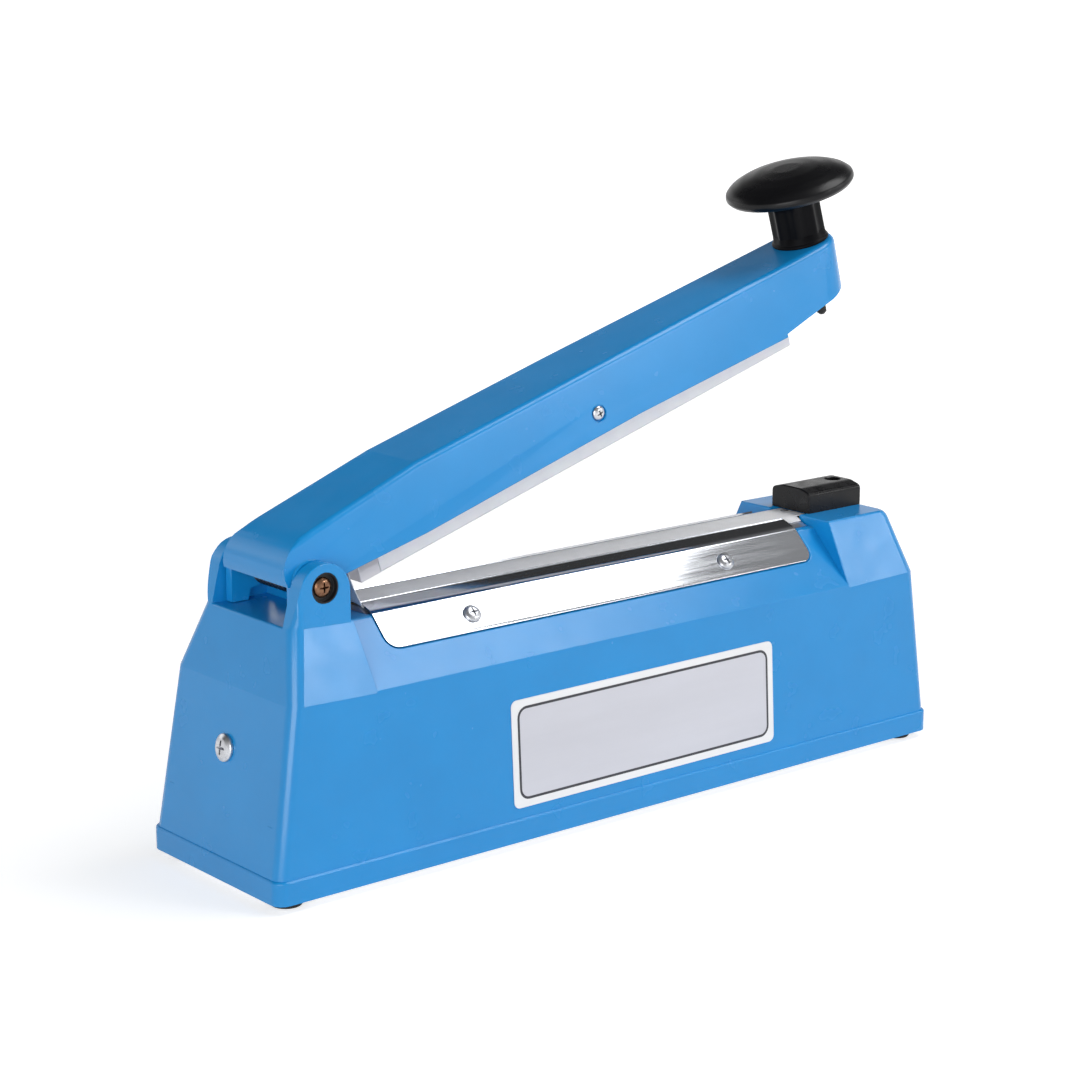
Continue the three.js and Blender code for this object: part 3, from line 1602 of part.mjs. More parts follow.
// The plan at both heights: drafted sides and a round nose.
function armPlan(inset) {
  const heights = [armUnderside - armSag - overrun, armFrontHeight + overrun];
  return heights.map((height) => {
    const half = armHalf(height) - inset;
    const reach = between(armReach - armNoseLean, armReach, armNoseTipHeight, armFrontHeight, height);
    return level(height, armTailX - 2 * overrun, reach - inset, half, stepRadius, half - film, 2 * arcSteps);
  });
}

function armBody(inset) {
  const side = prismY(armSide(inset), -armFootWidth, armFootWidth);
  return side.intersect(loft(armPlan(inset)));
}

const pivotSpotHalf = armHalf(pivotHeight) - pivotSpotDepth;
const lugOuter = armFootHalf + fit;
const lugInner = lugOuter - lugThickness;
const floorUnderPin = blockTop - pinHeight;
const closedShelfTop = pinShelfHeight + pinShelfThickness;
const pinRodX = coverHoleX - pinX;

// Place and axis of the press knob on the arm's sloping top.
const armMiddleX = armReach / 2;
const armMiddleHeight = between(armBendHeight, armFrontHeight, armBendX, armReach, armMiddleX) + armCrown;
const knobSlope = slopeBetween(armMiddleHeight, armFrontHeight, armMiddleX, armReach);
const knobAxis = new THREE.Vector3(-knobSlope, 0, 1).normalize();
const knobPlace = new THREE.Vector3(knobX, 0, armFrontHeight - knobSlope * (armReach - knobX));
const knobBossDepth = armWall + knobBossDrop;

// A lug with its heel stop, which stands on the housing when the arm is open.
function lug(side) {
  const [yLow, yHigh] = sideBand(side, lugInner, lugOuter);
  const open = new THREE.Matrix4().makeRotationY(openAngle);
  const corners = [
    [-heelStopRear, 0],
    [-heelStopRear, floorUnderPin + fit],
    [-heelStopFront, floorUnderPin + fit],
    [heelStopFront, 0],
  ].map(([x, z]) => {
    const corner = new THREE.Vector3(x, 0, z).applyMatrix4(open);
    return [corner.x, corner.z];
  });
  return join(crossBar(lugRadius, 0, 0, yLow, yHigh), prismY(corners, yLow, yHigh));
}

function armShell() {
  const knobBoss = bar(knobBossRadius, alongFrom(knobPlace, knobAxis, -knobBossDepth), knobAxis, knobBossDepth - armWall / 2);
  const shelf = box(
    pinRodX - pinShelfWidth / 2,
    armReach - armNoseLean - armWall / 2,
    -pinShelfWidth / 2,
    pinShelfWidth / 2,
    pinShelfHeight,
    closedShelfTop,
  );
  const springRib = box(
    springUpperLeg - springRibLength,
    springUpperLeg,
    springLegY - springRibWidth / 2,
    springLegY + springRibWidth / 2,
    springRadius + springWire / 2 + fit,
    armHeelHeight,
  );
  const knobHoleFoot = alongFrom(knobPlace, knobAxis, -knobBossDepth - overrun);
  const knobHole = bar(knobScrewRadius + fit, knobHoleFoot, knobAxis, knobBossDepth + 2 * overrun, screwSides);
  const pinHole = rodGeometry(pinRodRadius + fit, pinShelfHeight - overrun, closedShelfTop + overrun, screwSides);
  pinHole.translate(pinRodX, 0, 0);
  const spots = [-1, 1].map((side) => {
    const [yLow, yHigh] = sideBand(side, pivotSpotHalf, armFootHalf + overrun);
    return crossBar(pivotSpotRadius, pivotX, pivotHeight, yLow, yHigh);
  });
  const hollowed = cut(armBody(0), armBody(armWall));
  return cut(
    join(hollowed, lug(-1), lug(1), knobBoss, shelf, springRib),
    crossBar(hingeBoltRadius + fit, 0, 0, -armFootWidth, armFootWidth),
    crossBar(pivotScrewRadius + fit, pivotX, pivotHeight, -armFootWidth, armFootWidth, screwSides),
    ...spots,
    knobHole,
    solid(pinHole),
  );
}
addPiece(arm, "arm_shell", armShell(), bluePlastic);

// Press knob and its screw

function pressKnob() {
  const body = turned(
    [
      [0, 0],
      [knobFlangeRadius, 0],
      [knobFlangeRadius, knobFlangeHeight / 2],
      [knobFlangeRadius - knobFlangeHeight, knobFlangeHeight],
      [knobStemRadius, 2 * knobFlangeHeight],
      [knobStemRadius, knobStemHeight],
      [knobRadius - knobFlangeHeight, knobUnderside],
      [knobRadius, (knobUnderside + knobRimHeight) / 2],
      [knobRadius - knobFlangeHeight / 2, knobRimHeight],
      ...knobDomeShares.map(([out, up]) => [
        knobRadius * out,
        knobRimHeight + (knobTop - knobRimHeight) * up,
      ]),
      [0, knobTop],
    ],
    fineSides,
  );
  const flutePitchRadius = knobStemRadius + knobFluteRadius - knobFluteDepth;
  const flutes = arc(0, 0, flutePitchRadius, 0, 4 * quarterTurn, knobFluteCount)
    .slice(1)
    .map(([x, y]) => {
      const geometry = rodGeometry(knobFluteRadius, 2 * knobFlangeHeight, knobStemHeight, screwSides);
      geometry.translate(x, y, 0);
      return solid(geometry);
    });
  return cut(body, ...flutes, rod(knobScrewRadius + fit, -overrun, knobScrewReach + fit, screwSides));
}
addPiece(arm, "press_knob", pressKnob(), blackPlastic, alongFrom(knobPlace, knobAxis, film), knobAxis);

const knobScrewLength = knobBossDepth + film + knobScrewReach;
const knobScrew = screw(knobScrewHeadRadius, knobScrewHeadHeight, knobScrewRadius, knobScrewLength);
const knobScrewPlace = alongFrom(knobPlace, knobAxis, -knobBossDepth - film);
addPiece(arm, "knob_screw", knobScrew, zincSteel, knobScrewPlace, knobAxis.clone().negate());

// Switch pin

const pinTip = buttonTop + pinTipGap - pinHeight;
const pinProfile = [
  [0, pinTip],
  [pinRodRadius / 2, pinTip],
  [pinRodRadius, pinTip + pinRodRadius / 2],
  [pinRodRadius, closedShelfTop + film],
  [pinHeadRadius, closedShelfTop + film],
  [pinHeadRadius, closedShelfTop + film + pinHeadHeight],
  [0, closedShelfTop + film + pinHeadHeight],
];
addPiece(arm, "switch_pin", turned(pinProfile, screwSides), blackPlastic, new THREE.Vector3(pinRodX, 0, 0));

// Pivot screw and nut of the press bar

const pivotSeat = pivotSpotHalf + film;
const pivotScrew = screw(
  pivotScrewHeadRadius,
  pivotScrewHeadHeight,
  pivotScrewRadius,
  2 * pivotSeat + pivotNutHeight,
);
addPiece(
  arm,
  "pivot_screw",
  pivotScrew,
  zincSteel,
  new THREE.Vector3(pivotX, -pivotSeat, pivotHeight),
  nearWards,
);
const pivotNut = hexagon(pivotNutWidth, 0, pivotNutHeight, pivotScrewRadius + fit);
addPiece(arm, "pivot_nut", pivotNut, zincSteel, new THREE.Vector3(pivotX, pivotSeat, pivotHeight), across);

// Press bar, drawn level over the bed round its pivot and then tilted with the open arm

const pressBar = new THREE.Group();
pressBar.position.set(pivotX, 0, pivotHeight);
pressBar.rotation.y = -barTilt;
arm.add(pressBar);

const stripFoot = bedTop + barGap - pinHeight - pivotHeight;
const channelFootZ = channelFoot - pinHeight - pivotHeight;
const channelTop = channelFootZ + channelHeight;
const rearX = barRearX - pivotX;
const frontX = barFrontX - pivotX;
const stripX = stripRearX - pivotX;

function barHolder() {
  const half = channelWidth / 2;
  const neck = stripNeckWidth / 2 + fit;
  const innerHalf = half - channelWall;
  const channel = [
    [-half, channelFootZ],
    [-neck, channelFootZ],
    [-neck, channelFootZ + channelWall],
    [-innerHalf, channelFootZ + channelWall],
    [-innerHalf, channelTop - channelWall],
    [innerHalf, channelTop - channelWall],
    [innerHalf, channelFootZ + channelWall],
    [neck, channelFootZ + channelWall],
    [neck, channelFootZ],
    [half, channelFootZ],
    [half, channelTop],
    [-half, channelTop],
  ];
  const tubeHalf = armHalf(pivotHeight + pivotTubeRadius) - armWall - 2 * fit;
  const heel = box(rearX, stripX - fit, -stripWidth / 2, stripWidth / 2, stripFoot + fit, channelTop - channelWall / 2);
  const web = box(-pivotTubeRadius, pivotTubeRadius, -half, half, channelTop - channelWall / 2, 0);
  return cut(
    join(prismX(channel, rearX, frontX), heel, web, crossBar(pivotTubeRadius, 0, 0, -tubeHalf, tubeHalf)),
    crossBar(pivotScrewRadius + fit, 0, 0, -armFootWidth, armFootWidth, screwSides),
  );
}
addPiece(pressBar, "bar_holder", barHolder(), aluminium);

const stripHead = channelWidth / 2 - channelWall - fit;
const stripNeck = stripNeckWidth / 2;
const stripHalf = stripWidth / 2;
const stripSection = mirroredSection([
  [-stripHead, channelTop - channelWall - fit],
  [-stripHead, channelFootZ + channelWall + fit],
  [-stripNeck, channelFootZ + channelWall + fit],
  [-stripNeck, channelFootZ - fit],
  [-stripHalf, channelFootZ - fit],
  [-stripHalf, stripFoot + stripChamfer],
  [-stripHalf + stripChamfer, stripFoot],
]);
addPiece(pressBar, "silicone_strip", prismX(stripSection, stripX, frontX), whiteSilicone);

export default sealer;
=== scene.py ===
import math

import bmesh
import bpy
from bpy.props import FloatProperty, FloatVectorProperty, IntProperty, PointerProperty
from mathutils import Matrix, Vector
from mathutils.bvhtree import BVHTree


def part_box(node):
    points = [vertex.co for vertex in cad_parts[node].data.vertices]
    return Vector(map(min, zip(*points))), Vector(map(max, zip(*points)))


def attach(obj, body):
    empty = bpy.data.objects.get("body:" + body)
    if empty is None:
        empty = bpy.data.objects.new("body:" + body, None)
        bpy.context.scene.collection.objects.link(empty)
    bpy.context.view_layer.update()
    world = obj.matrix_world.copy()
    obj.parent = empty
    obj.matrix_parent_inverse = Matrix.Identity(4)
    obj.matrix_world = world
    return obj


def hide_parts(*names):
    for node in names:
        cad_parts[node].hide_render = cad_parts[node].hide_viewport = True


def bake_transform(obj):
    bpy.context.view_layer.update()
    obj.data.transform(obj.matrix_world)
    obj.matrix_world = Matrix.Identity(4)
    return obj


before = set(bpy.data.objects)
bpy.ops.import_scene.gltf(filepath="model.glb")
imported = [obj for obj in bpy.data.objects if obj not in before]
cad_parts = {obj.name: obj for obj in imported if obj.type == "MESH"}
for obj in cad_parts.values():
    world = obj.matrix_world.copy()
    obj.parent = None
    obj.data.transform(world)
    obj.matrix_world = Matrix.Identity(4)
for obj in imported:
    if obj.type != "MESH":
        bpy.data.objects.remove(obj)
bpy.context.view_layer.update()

bl_info = {
    "name": "Hand impulse sealer",
    "version": (1, 0, 0),
    "blender": (4, 5, 0),
    "location": "View3D > Sidebar > Sealer",
    "description": "Dresses the packed model of a hand impulse bag sealer",
    "category": "Object",
}

MM = 0.001


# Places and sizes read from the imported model


def low(node):
    return Vector(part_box(node)[0])


def high(node):
    return Vector(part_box(node)[1])


def middle(node):
    return (low(node) + high(node)) / 2


PIN = Vector((middle("hinge_bolt").x, 0, middle("hinge_bolt").z))
FACET = Vector((0, 1, 1)).normalized()
OPEN_ANGLE = math.radians(15.35)
ARM_FORWARD = Vector((math.cos(OPEN_ANGLE), 0, math.sin(OPEN_ANGLE)))
ARM_UP = Vector((-math.sin(OPEN_ANGLE), 0, math.cos(OPEN_ANGLE)))
BLOCK_TOP = PIN.z - 0.0128  # top of the blocks between and beside the hinge ears
DRAFT = 2.95 / 58.6  # lean of the long walls
END_DRAFT = 9.4 / 58.6  # lean of the wall at the hinge end
NEAR_WALL = Vector((0, -1, DRAFT)).normalized()
FAR_WALL = Vector((0, 1, DRAFT)).normalized()
WALL_FOOT, HALF_WIDTH = 0.0116, 0.04005  # level where the long walls begin, and their distance there
HALF_CLOTH, HALF_SKIRT = 0.0115, 0.01077  # half widths of the flat cloth and of what lies on the bed
LABEL_CORNER = 0.0042  # corner radius of the line round the bare label
DIAL_START, DIAL_SWEEP = math.radians(240), math.radians(300)  # place of number 1, and the way to the last
NUMBERS_RADIUS = 0.0202
POINTER_TURN = math.radians(120)  # sets the pointer on the last number at the joint's least angle
LOWER_ARM_EDGE = 0.0005  # rounding of the arm's lower edges
LIGHT_TARGET = Vector((0, 0, 0.11))


# Sizes and colours that a user would change


def length(name, description, default, smallest=0.0):
    return FloatProperty(
        name=name, description=description, default=default, min=smallest, unit="LENGTH", precision=5
    )


def colour(name, description, default):
    return FloatVectorProperty(
        name=name, description=description, default=default, size=3, min=0, max=1, subtype="COLOR"
    )


def power(name, description, default):
    return FloatProperty(name=name, description=description, default=default, unit="POWER")


def level(name, description, default):
    return FloatProperty(name=name, description=description, default=default, min=0)


class SealerSizes(bpy.types.PropertyGroup):
    housing_edge: length("Housing edge", "Rounding of the housing's outer edges", 0.0008)
    ear_edge: length("Ear edge", "Rounding of the hinge ears' outer rims", 0.00046)
    arm_edge: length("Arm edge", "Rounding of the arm's long edges", 0.0021)
    cover_edge: length("Cover edge", "Rounding of the switch cover's end edges", 0.0007)
    plate_bend: length("Plate bend", "Radius of the bend in the side plates", 0.0014)
    strip_edge: length("Strip edge", "Rounding of the silicone strip's edges", 0.0004)
    cloth_thickness: length("Cloth thickness", "Thickness of the coated glass cloth", 0.0003, 0.0001)
    cloth_ridge: length("Wire ridge", "Height of the band wire's ridge in the cloth", 0.00006)
    knob_flute_depth: length("Flute depth", "Depth of the flutes in the knob's stem", 0.0012)
    knob_flutes: IntProperty(name="Flutes", description="Flutes round the knob's stem", default=8, min=3)
    timer_grips: IntProperty(name="Timer grips", description="Ribs round the timer knob", default=24, min=6)
    timer_marks: IntProperty(name="Timer marks", description="Numbers round the timer knob", default=8, min=2)
    gland_ribs: IntProperty(name="Gland ribs", description="Ribs round the cord gland's nose", default=18, min=6)
    label_line: length("Label line", "Width of the line round the bare label", 0.00095, 0.0001)
    label_inset: length("Label inset", "Distance of the line from the label's edge", 0.0027)


class SealerColours(bpy.types.PropertyGroup):
    blue: colour("Blue plastic", "Housing and arm", (0.0065, 0.262, 0.64))
    black: colour("Black plastic", "Knob, cover and controls", (0.0045, 0.0045, 0.0055))
    rubber: colour("Black rubber", "Feet", (0.012, 0.012, 0.012))
    polished: colour("Polished steel", "Side plates", (0.66, 0.68, 0.72))
    zinc: colour("Zinc plated steel", "Screws and brackets", (0.56, 0.57, 0.6))
    yellow_zinc: colour("Yellow zinc", "Hinge bolt", (0.22, 0.125, 0.075))
    spring: colour("Spring steel", "Return spring", (0.13, 0.13, 0.14))
    aluminium: colour("Aluminium", "Press bar holder, bed core and label", (0.58, 0.58, 0.61))
    brass: colour("Brass", "Wire terminals", (0.58, 0.38, 0.1))
    cloth: colour("Coated cloth", "Cloth over the bed", (0.84, 0.84, 0.85))
    silicone: colour("Silicone", "Strip of the press bar", (0.86, 0.87, 0.9))
    lens: colour("Red lens", "Lamp and switch button", (0.55, 0.018, 0.012))


class SealerLight(bpy.types.PropertyGroup):
    top_panel: power("Top panel", "Power of the panel above", 9.4)
    front_panel: power("Front panel", "Power of the front fill", 14.5)
    side_panel: power("Side panel", "Power of the panel at the near side", 2.2)
    back_panel: power("Back panel", "Power of the back fill", 2.0)
    sky_front: level("Front sky", "Level of the sky in front", 0.3)
    sky_back: level("Back sky", "Level of the sky behind", 0.05)
    sky_horizon: level("Horizon", "Level of the sky near the floor", 0.88)


# Materials


NOISE_ROUGHNESS = 0.55
STOPS = (0.3, 0.7)  # the stretch of a pattern's values that is used


class Finish:
    """A node material whose patterns read Object coordinates, or a UV map where the piece has one."""

    def __init__(self, name, base, roughness, metallic=0.0, uv=False, **sockets):
        self.material = bpy.data.materials.new(name)
        self.material.use_nodes = True
        self.tree = self.material.node_tree
        self.shader = self.tree.nodes["Principled BSDF"]
        self.base = base
        self.shader.inputs["Base Color"].default_value = (*base, 1)
        self.shader.inputs["Roughness"].default_value = roughness
        self.shader.inputs["Metallic"].default_value = metallic
        for socket, value in sockets.items():
            self.shader.inputs[socket.replace("_", " ")].default_value = value
        self.coordinates = self.add("ShaderNodeTexCoord").outputs["UV" if uv else "Object"]
        self.relief = None
        self.patterns = {}

    def add(self, kind, **values):
        node = self.tree.nodes.new(kind)
        for key, value in values.items():
            setattr(node, key, value)
        return node

    def link(self, source, target):
        self.tree.links.new(source, target)

    def place(self, stretch=(1, 1, 1)):
        mapping = self.add("ShaderNodeMapping")
        mapping.inputs["Scale"].default_value = stretch
        self.link(self.coordinates, mapping.inputs["Vector"])
        return mapping.outputs["Vector"]

    def noise(self, scale, detail=3.0, stretch=(1, 1, 1)):
        texture = self.add("ShaderNodeTexNoise")
        for socket, value in (("Scale", scale), ("Detail", detail), ("Roughness", NOISE_ROUGHNESS)):
            texture.inputs[socket].default_value = value
        self.link(self.place(stretch), texture.inputs["Vector"])
        return texture.outputs["Fac"]

    def cells(self, scale):
        texture = self.add("ShaderNodeTexVoronoi")
        texture.inputs["Scale"].default_value = scale
        self.link(self.place(), texture.inputs["Vector"])
        return texture.outputs["Distance"]

    def bands(self, pitch, direction, wobble):
        texture = self.add("ShaderNodeTexWave", wave_type="BANDS", bands_direction=direction)
        for socket, value in (("Scale", 2 * math.pi / (20 * pitch)), ("Distortion", wobble), ("Detail", 1)):
            texture.inputs[socket].default_value = value
        self.link(self.place(), texture.inputs["Vector"])
        return texture.outputs["Fac"]

    def combine(self, operation, first, second):
        node = self.add("ShaderNodeMath", operation=operation)
        self.link(first, node.inputs[0])
        self.link(second, node.inputs[1])
        return node.outputs["Value"]

    def pattern(self, kind, *values):
        """A pattern given as (method, values), where a value may be a pattern too, is built once."""
        if (kind, values) not in self.patterns:
            nested = [self.pattern(*v) if isinstance(v, tuple) and isinstance(v[0], str) else v for v in values]
            self.patterns[kind, values] = getattr(self, kind)(*nested)
        return self.patterns[kind, values]

    def shades(self, factor, dark, light, stops=STOPS, tone=(1, 1, 1)):
        ramp = self.add("ShaderNodeValToRGB")
        first, last = ramp.color_ramp.elements
        first.position, last.position = stops
        first.color = (*(min(1, c * dark * t) for c, t in zip(self.base, tone)), 1)
        last.color = (*(min(1, c * light) for c in self.base), 1)
        self.link(factor, ramp.inputs["Fac"])
        self.link(ramp.outputs["Color"], self.shader.inputs["Base Color"])

    def gloss(self, factor, smooth, rough):
        node = self.add("ShaderNodeMapRange")
        levels = (*STOPS, smooth, rough)
        for socket, value in zip(("From Min", "From Max", "To Min", "To Max"), levels):
            node.inputs[socket].default_value = value
        self.link(factor, node.inputs["Value"])
        self.link(node.outputs["Result"], self.shader.inputs["Roughness"])

    def bump(self, factor, depth, strength):
        node = self.add("ShaderNodeBump")
        node.inputs["Strength"].default_value = strength
        node.inputs["Distance"].default_value = depth
        self.link(factor, node.inputs["Height"])
        if self.relief:
            self.link(self.relief, node.inputs["Normal"])
        self.relief = node.outputs["Normal"]
        self.link(self.relief, self.shader.inputs["Normal"])


def recipe(slot, name, base, roughness, shades, gloss, *bumps, **sockets):
    """A finish's slot and maker; each of shades, gloss and bumps starts with its pattern."""

    def make(colours):
        finish = Finish(name, getattr(colours, base) if isinstance(base, str) else base, roughness, **sockets)
        finish.shades(finish.pattern(*shades[0]), *shades[1:])
        finish.gloss(finish.pattern(*gloss[0]), *gloss[1:])
        for factor, depth, strength in bumps:
            finish.bump(finish.pattern(*factor), depth, strength)
        return finish.material

    return {"slot": slot, "make": make}


WEAVE = ("combine", "MULTIPLY", ("bands", 0.00085, "X", 0.4), ("bands", 0.00085, "Y", 0.4))
TURNS = ("bands", 0.0006, "Z", 0.25)
SHEETS = ("bands", 0.0005, "Y", 0.15)

# Kind: slot, name, base colour or its property, roughness, (pattern, dark, light, stops, tone),
# (pattern, smoothest, roughest), then (pattern, depth, strength) for each bump
RECIPES = {
    "blue": recipe(
        "blue_plastic", "blue plastic", "blue", 0.3,
        (("noise", 35, 4), 0.965, 1.035, STOPS, (0.97, 0.99, 1)), (("noise", 90, 2), 0.21, 0.28),
        (("noise", 45, 1), 0.00012, 0.3), Specular_IOR_Level=0.5,
    ),
    "black": recipe(
        "black_plastic", "black plastic", "black", 0.3, (("noise", 90, 4), 0.75, 1.35),
        (("noise", 220, 5), 0.2, 0.36), (("noise", 1300, 3), 0.00003, 0.5), Specular_IOR_Level=0.24,
    ),
    "knob": recipe(
        "black_plastic", "knob black", "black", 0.28, (("noise", 90, 3), 0.85, 1.2),
        (("noise", 60, 2), 0.25, 0.31), (("noise", 500, 1), 0.00001, 0.3), Specular_IOR_Level=0.24,
    ),
    # Painted shade: the stem's finish is a duller copy of the knob's black plastic that reflects less, standing in
    # for the shade under the cap
    "stem": recipe(
        "black_plastic", "stem black", "black", 0.42, (("noise", 90, 3), 0.85, 1.2),
        (("noise", 80, 2), 0.36, 0.46), (("noise", 500, 1), 0.00001, 0.3), Specular_IOR_Level=0.07,
    ),
    "satin": recipe(
        "black_plastic", "satin black plastic", "black", 0.45, (("noise", 120, 4), 0.9, 1.6),
        (("noise", 300, 4), 0.38, 0.52), (("noise", 2600, 3), 0.00005, 0.8), Specular_IOR_Level=0.4,
    ),
    "rubber": recipe(
        "black_rubber", "black rubber", "rubber", 0.8, (("noise", 200, 4), 0.7, 1.8),
        (("noise", 400), 0.7, 0.9), (("noise", 1800, 4), 0.00012, 0.8), Specular_IOR_Level=0.3,
    ),
    "polished": recipe(
        "polished_steel", "polished steel", "polished", 0.1, (("noise", 30, 4, (0.3, 1, 1)), 0.93, 1.04),
        (("noise", 900, 4, (0.03, 1, 1)), 0.07, 0.13), (("noise", 2600, 3, (0.012, 1, 1)), 0.00001, 0.3),
        (("noise", 28, 1), 0.0002, 0.15), metallic=1.0,
    ),
    "zinc": recipe(
        "zinc_steel", "zinc steel", "zinc", 0.3, (("cells", 500), 0.88, 1.1, (0.1, 0.8)),
        (("noise", 600, 4), 0.21, 0.4), (("noise", 1500, 4), 0.00003, 0.6), metallic=1.0,
    ),
    "yellow": recipe(
        "zinc_steel", "yellow zinc", "yellow_zinc", 0.28, (("noise", 700, 4), 0.7, 1.25, STOPS, (1, 0.8, 0.8)),
        (("noise", 900, 4), 0.2, 0.38), (("noise", 1600, 4), 0.00003, 0.6), metallic=1.0,
    ),
    "spring": recipe(
        "spring_steel", "spring steel", "spring", 0.3, (("noise", 900, 4), 0.7, 1.4),
        (("noise", 1300, 4), 0.22, 0.42), (("noise", 2400, 3), 0.00002, 0.6), metallic=1.0,
    ),
    "aluminium": recipe(
        "aluminium", "mill aluminium", "aluminium", 0.36, (("noise", 120, 4, (0.1, 1, 1)), 0.9, 1.08),
        (("noise", 1000, 4, (0.03, 1, 1)), 0.28, 0.46), (("noise", 2400, 3, (0.02, 1, 1)), 0.00002, 0.7),
        metallic=1.0,
    ),
    "holder": recipe(
        "aluminium", "pale holder", (0.7, 0.69, 0.73), 0.46, (("noise", 120, 4, (0.1, 1, 1)), 0.94, 1.05),
        (("noise", 1000, 4, (0.03, 1, 1)), 0.4, 0.54), (("noise", 2400, 3, (0.02, 1, 1)), 0.00002, 0.6),
        metallic=0.35,
    ),
    "label": recipe(
        "aluminium", "label silver", (0.8, 0.805, 0.82), 0.4, (("noise", 60, 4, (0.2, 1, 1)), 0.97, 1.03),
        (("noise", 900, 3, (0.02, 1, 1)), 0.34, 0.46), (("noise", 2200, 2, (0.02, 1, 1)), 0.00001, 0.5),
        metallic=0.45,
    ),
    "field": recipe(
        "aluminium", "label grey", (0.6, 0.605, 0.66), 0.42, (("noise", 60, 4, (0.2, 1, 1)), 0.97, 1.04),
        (("noise", 900, 3, (0.02, 1, 1)), 0.36, 0.48), (("noise", 2200, 2, (0.02, 1, 1)), 0.00001, 0.5),
        metallic=0.3,
    ),
    "ink": recipe(
        "black_plastic", "line ink", (0.035, 0.036, 0.045), 0.5, (("noise", 800, 3), 0.8, 1.3),
        (("noise", 900, 3), 0.42, 0.58),
    ),
    "print": recipe(
        "silicone", "dial print", (0.82, 0.83, 0.84), 0.45, (("noise", 900, 3), 0.94, 1.04),
        (("noise", 900, 3), 0.38, 0.52),
    ),
    "brass": recipe(
        "brass", "brass", "brass", 0.28, (("noise", 400, 4), 0.8, 1.12, STOPS, (1, 0.92, 0.8)),
        (("noise", 800, 4), 0.2, 0.4), (("noise", 1500, 3), 0.00003, 0.5), metallic=1.0,
    ),
    "cloth": recipe(
        "cloth", "coated cloth", "cloth", 0.5,
        (("combine", "ADD", WEAVE, ("noise", 90, 4)), 0.88, 1.08, (0.35, 1.1), (0.99, 0.98, 0.97)),
        (("noise", 260, 4), 0.42, 0.6), (WEAVE, 0.00006, 0.7), uv=True, Sheen_Weight=0.12, Sheen_Roughness=0.4,
    ),
    "silicone": recipe(
        "silicone", "silicone", "silicone", 0.42, (("noise", 150, 4), 0.97, 1.02, STOPS, (0.99, 0.99, 1)),
        (("noise", 400, 4), 0.36, 0.52), (("noise", 1400, 3), 0.00003, 0.5),
        Subsurface_Weight=0.12, Subsurface_Scale=0.002,
    ),
    "fibre": recipe(
        "fibre", "fibre strip", (0.32, 0.2, 0.09), 0.75, (("noise", 700, 5, (0.1, 1, 1)), 0.7, 1.3),
        (("noise", 500, 3), 0.65, 0.85), (("noise", 1500, 4, (0.1, 1, 1)), 0.00008, 0.8),
    ),
    "copper": recipe(
        "copper", "enamelled copper", (0.42, 0.12, 0.035), 0.3, (TURNS, 0.45, 1.25, (0.1, 0.9)),
        (("noise", 500, 4), 0.24, 0.42), (TURNS, 0.00022, 0.9), metallic=0.85, Coat_Weight=0.4,
    ),
    "iron": recipe(
        "iron_core", "laminated iron", (0.2, 0.2, 0.215), 0.45,
        (("combine", "ADD", SHEETS, ("noise", 160, 4)), 0.6, 1.3, (0.3, 1.3)), (("noise", 300, 4), 0.38, 0.6),
        (SHEETS, 0.0001, 0.8), metallic=0.9,
    ),
    "board": recipe(
        "board", "circuit board", (0.014, 0.13, 0.05), 0.35, (("cells", 260), 0.75, 1.6, (0.15, 0.6)),
        (("noise", 400, 3), 0.28, 0.42), (("cells", 260), 0.00006, 0.5), Coat_Weight=0.3,
    ),
    "relay": recipe(
        "relay_blue", "relay case", (0.022, 0.11, 0.38), 0.32, (("noise", 120, 3), 0.92, 1.08),
        (("noise", 300, 4), 0.26, 0.4), (("noise", 1500, 2), 0.00003, 0.5),
    ),
    "lens": recipe(
        "red_plastic", "red lens", "lens", 0.12, (("cells", 900), 0.7, 1.3, (0.1, 0.6)),
        (("noise", 600, 3), 0.08, 0.18), (("cells", 900), 0.0001, 0.35),
        Transmission_Weight=0.25, IOR=1.49, Coat_Weight=0.5,
    ),
}
made = {}


def finish_of(kind):
    if kind not in made:
        made[kind] = RECIPES[kind]["make"](bpy.context.scene.sealer_colours)
    return made[kind]


def repaint(kind, *nodes):
    """A CAD node that keeps its shape gets a better material."""
    for node in nodes:
        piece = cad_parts[node]
        piece.data.materials.clear()
        piece.data.materials.append(finish_of(kind))


# Mesh helpers


def filleted(points, steps=4):
    """A path of (a, b, radius) corners with each corner turned into an arc."""
    path = []
    for i, (a, b, radius) in enumerate(points):
        here = Vector((a, b))
        if radius == 0 or i in (0, len(points) - 1):
            path.append(here)
            continue
        back = Vector(points[i - 1][:2]) - here
        on = Vector(points[i + 1][:2]) - here
        half = back.angle(on) / 2
        reach = min(radius / math.tan(half), 0.49 * back.length, 0.49 * on.length)
        start, end = here + back.normalized() * reach, here + on.normalized() * reach
        for k in range(steps + 1):
            t = k / steps
            path.append(start * (1 - t) ** 2 + here * 2 * t * (1 - t) + end * t ** 2)
    return path


def turned(profile, sides=64, shape=None):
    """A turned solid round +Z in metres; the profile's (radius, height) pairs in mm go upwards."""
    bm = bmesh.new()
    rings = []
    for radius, height in profile:
        if radius < 1e-6:
            rings.append([bm.verts.new((0, 0, height * MM))])
            continue
        ring = []
        for i in range(sides):
            angle = 2 * math.pi * i / sides
            out = (shape(radius, height, angle) if shape else radius) * MM
            ring.append(bm.verts.new((out * math.cos(angle), out * math.sin(angle), height * MM)))
        rings.append(ring)
    for lower, upper in zip(rings, rings[1:]):
        for i in range(sides):
            k = (i + 1) % sides
            corners = [lower[i % len(lower)], lower[k % len(lower)], upper[k % len(upper)], upper[i % len(upper)]]
            unique = [v for n, v in enumerate(corners) if v not in corners[:n]]
            if len(unique) > 2:
                bm.faces.new(unique)
    bmesh.ops.recalc_face_normals(bm, faces=bm.faces)
    return bm


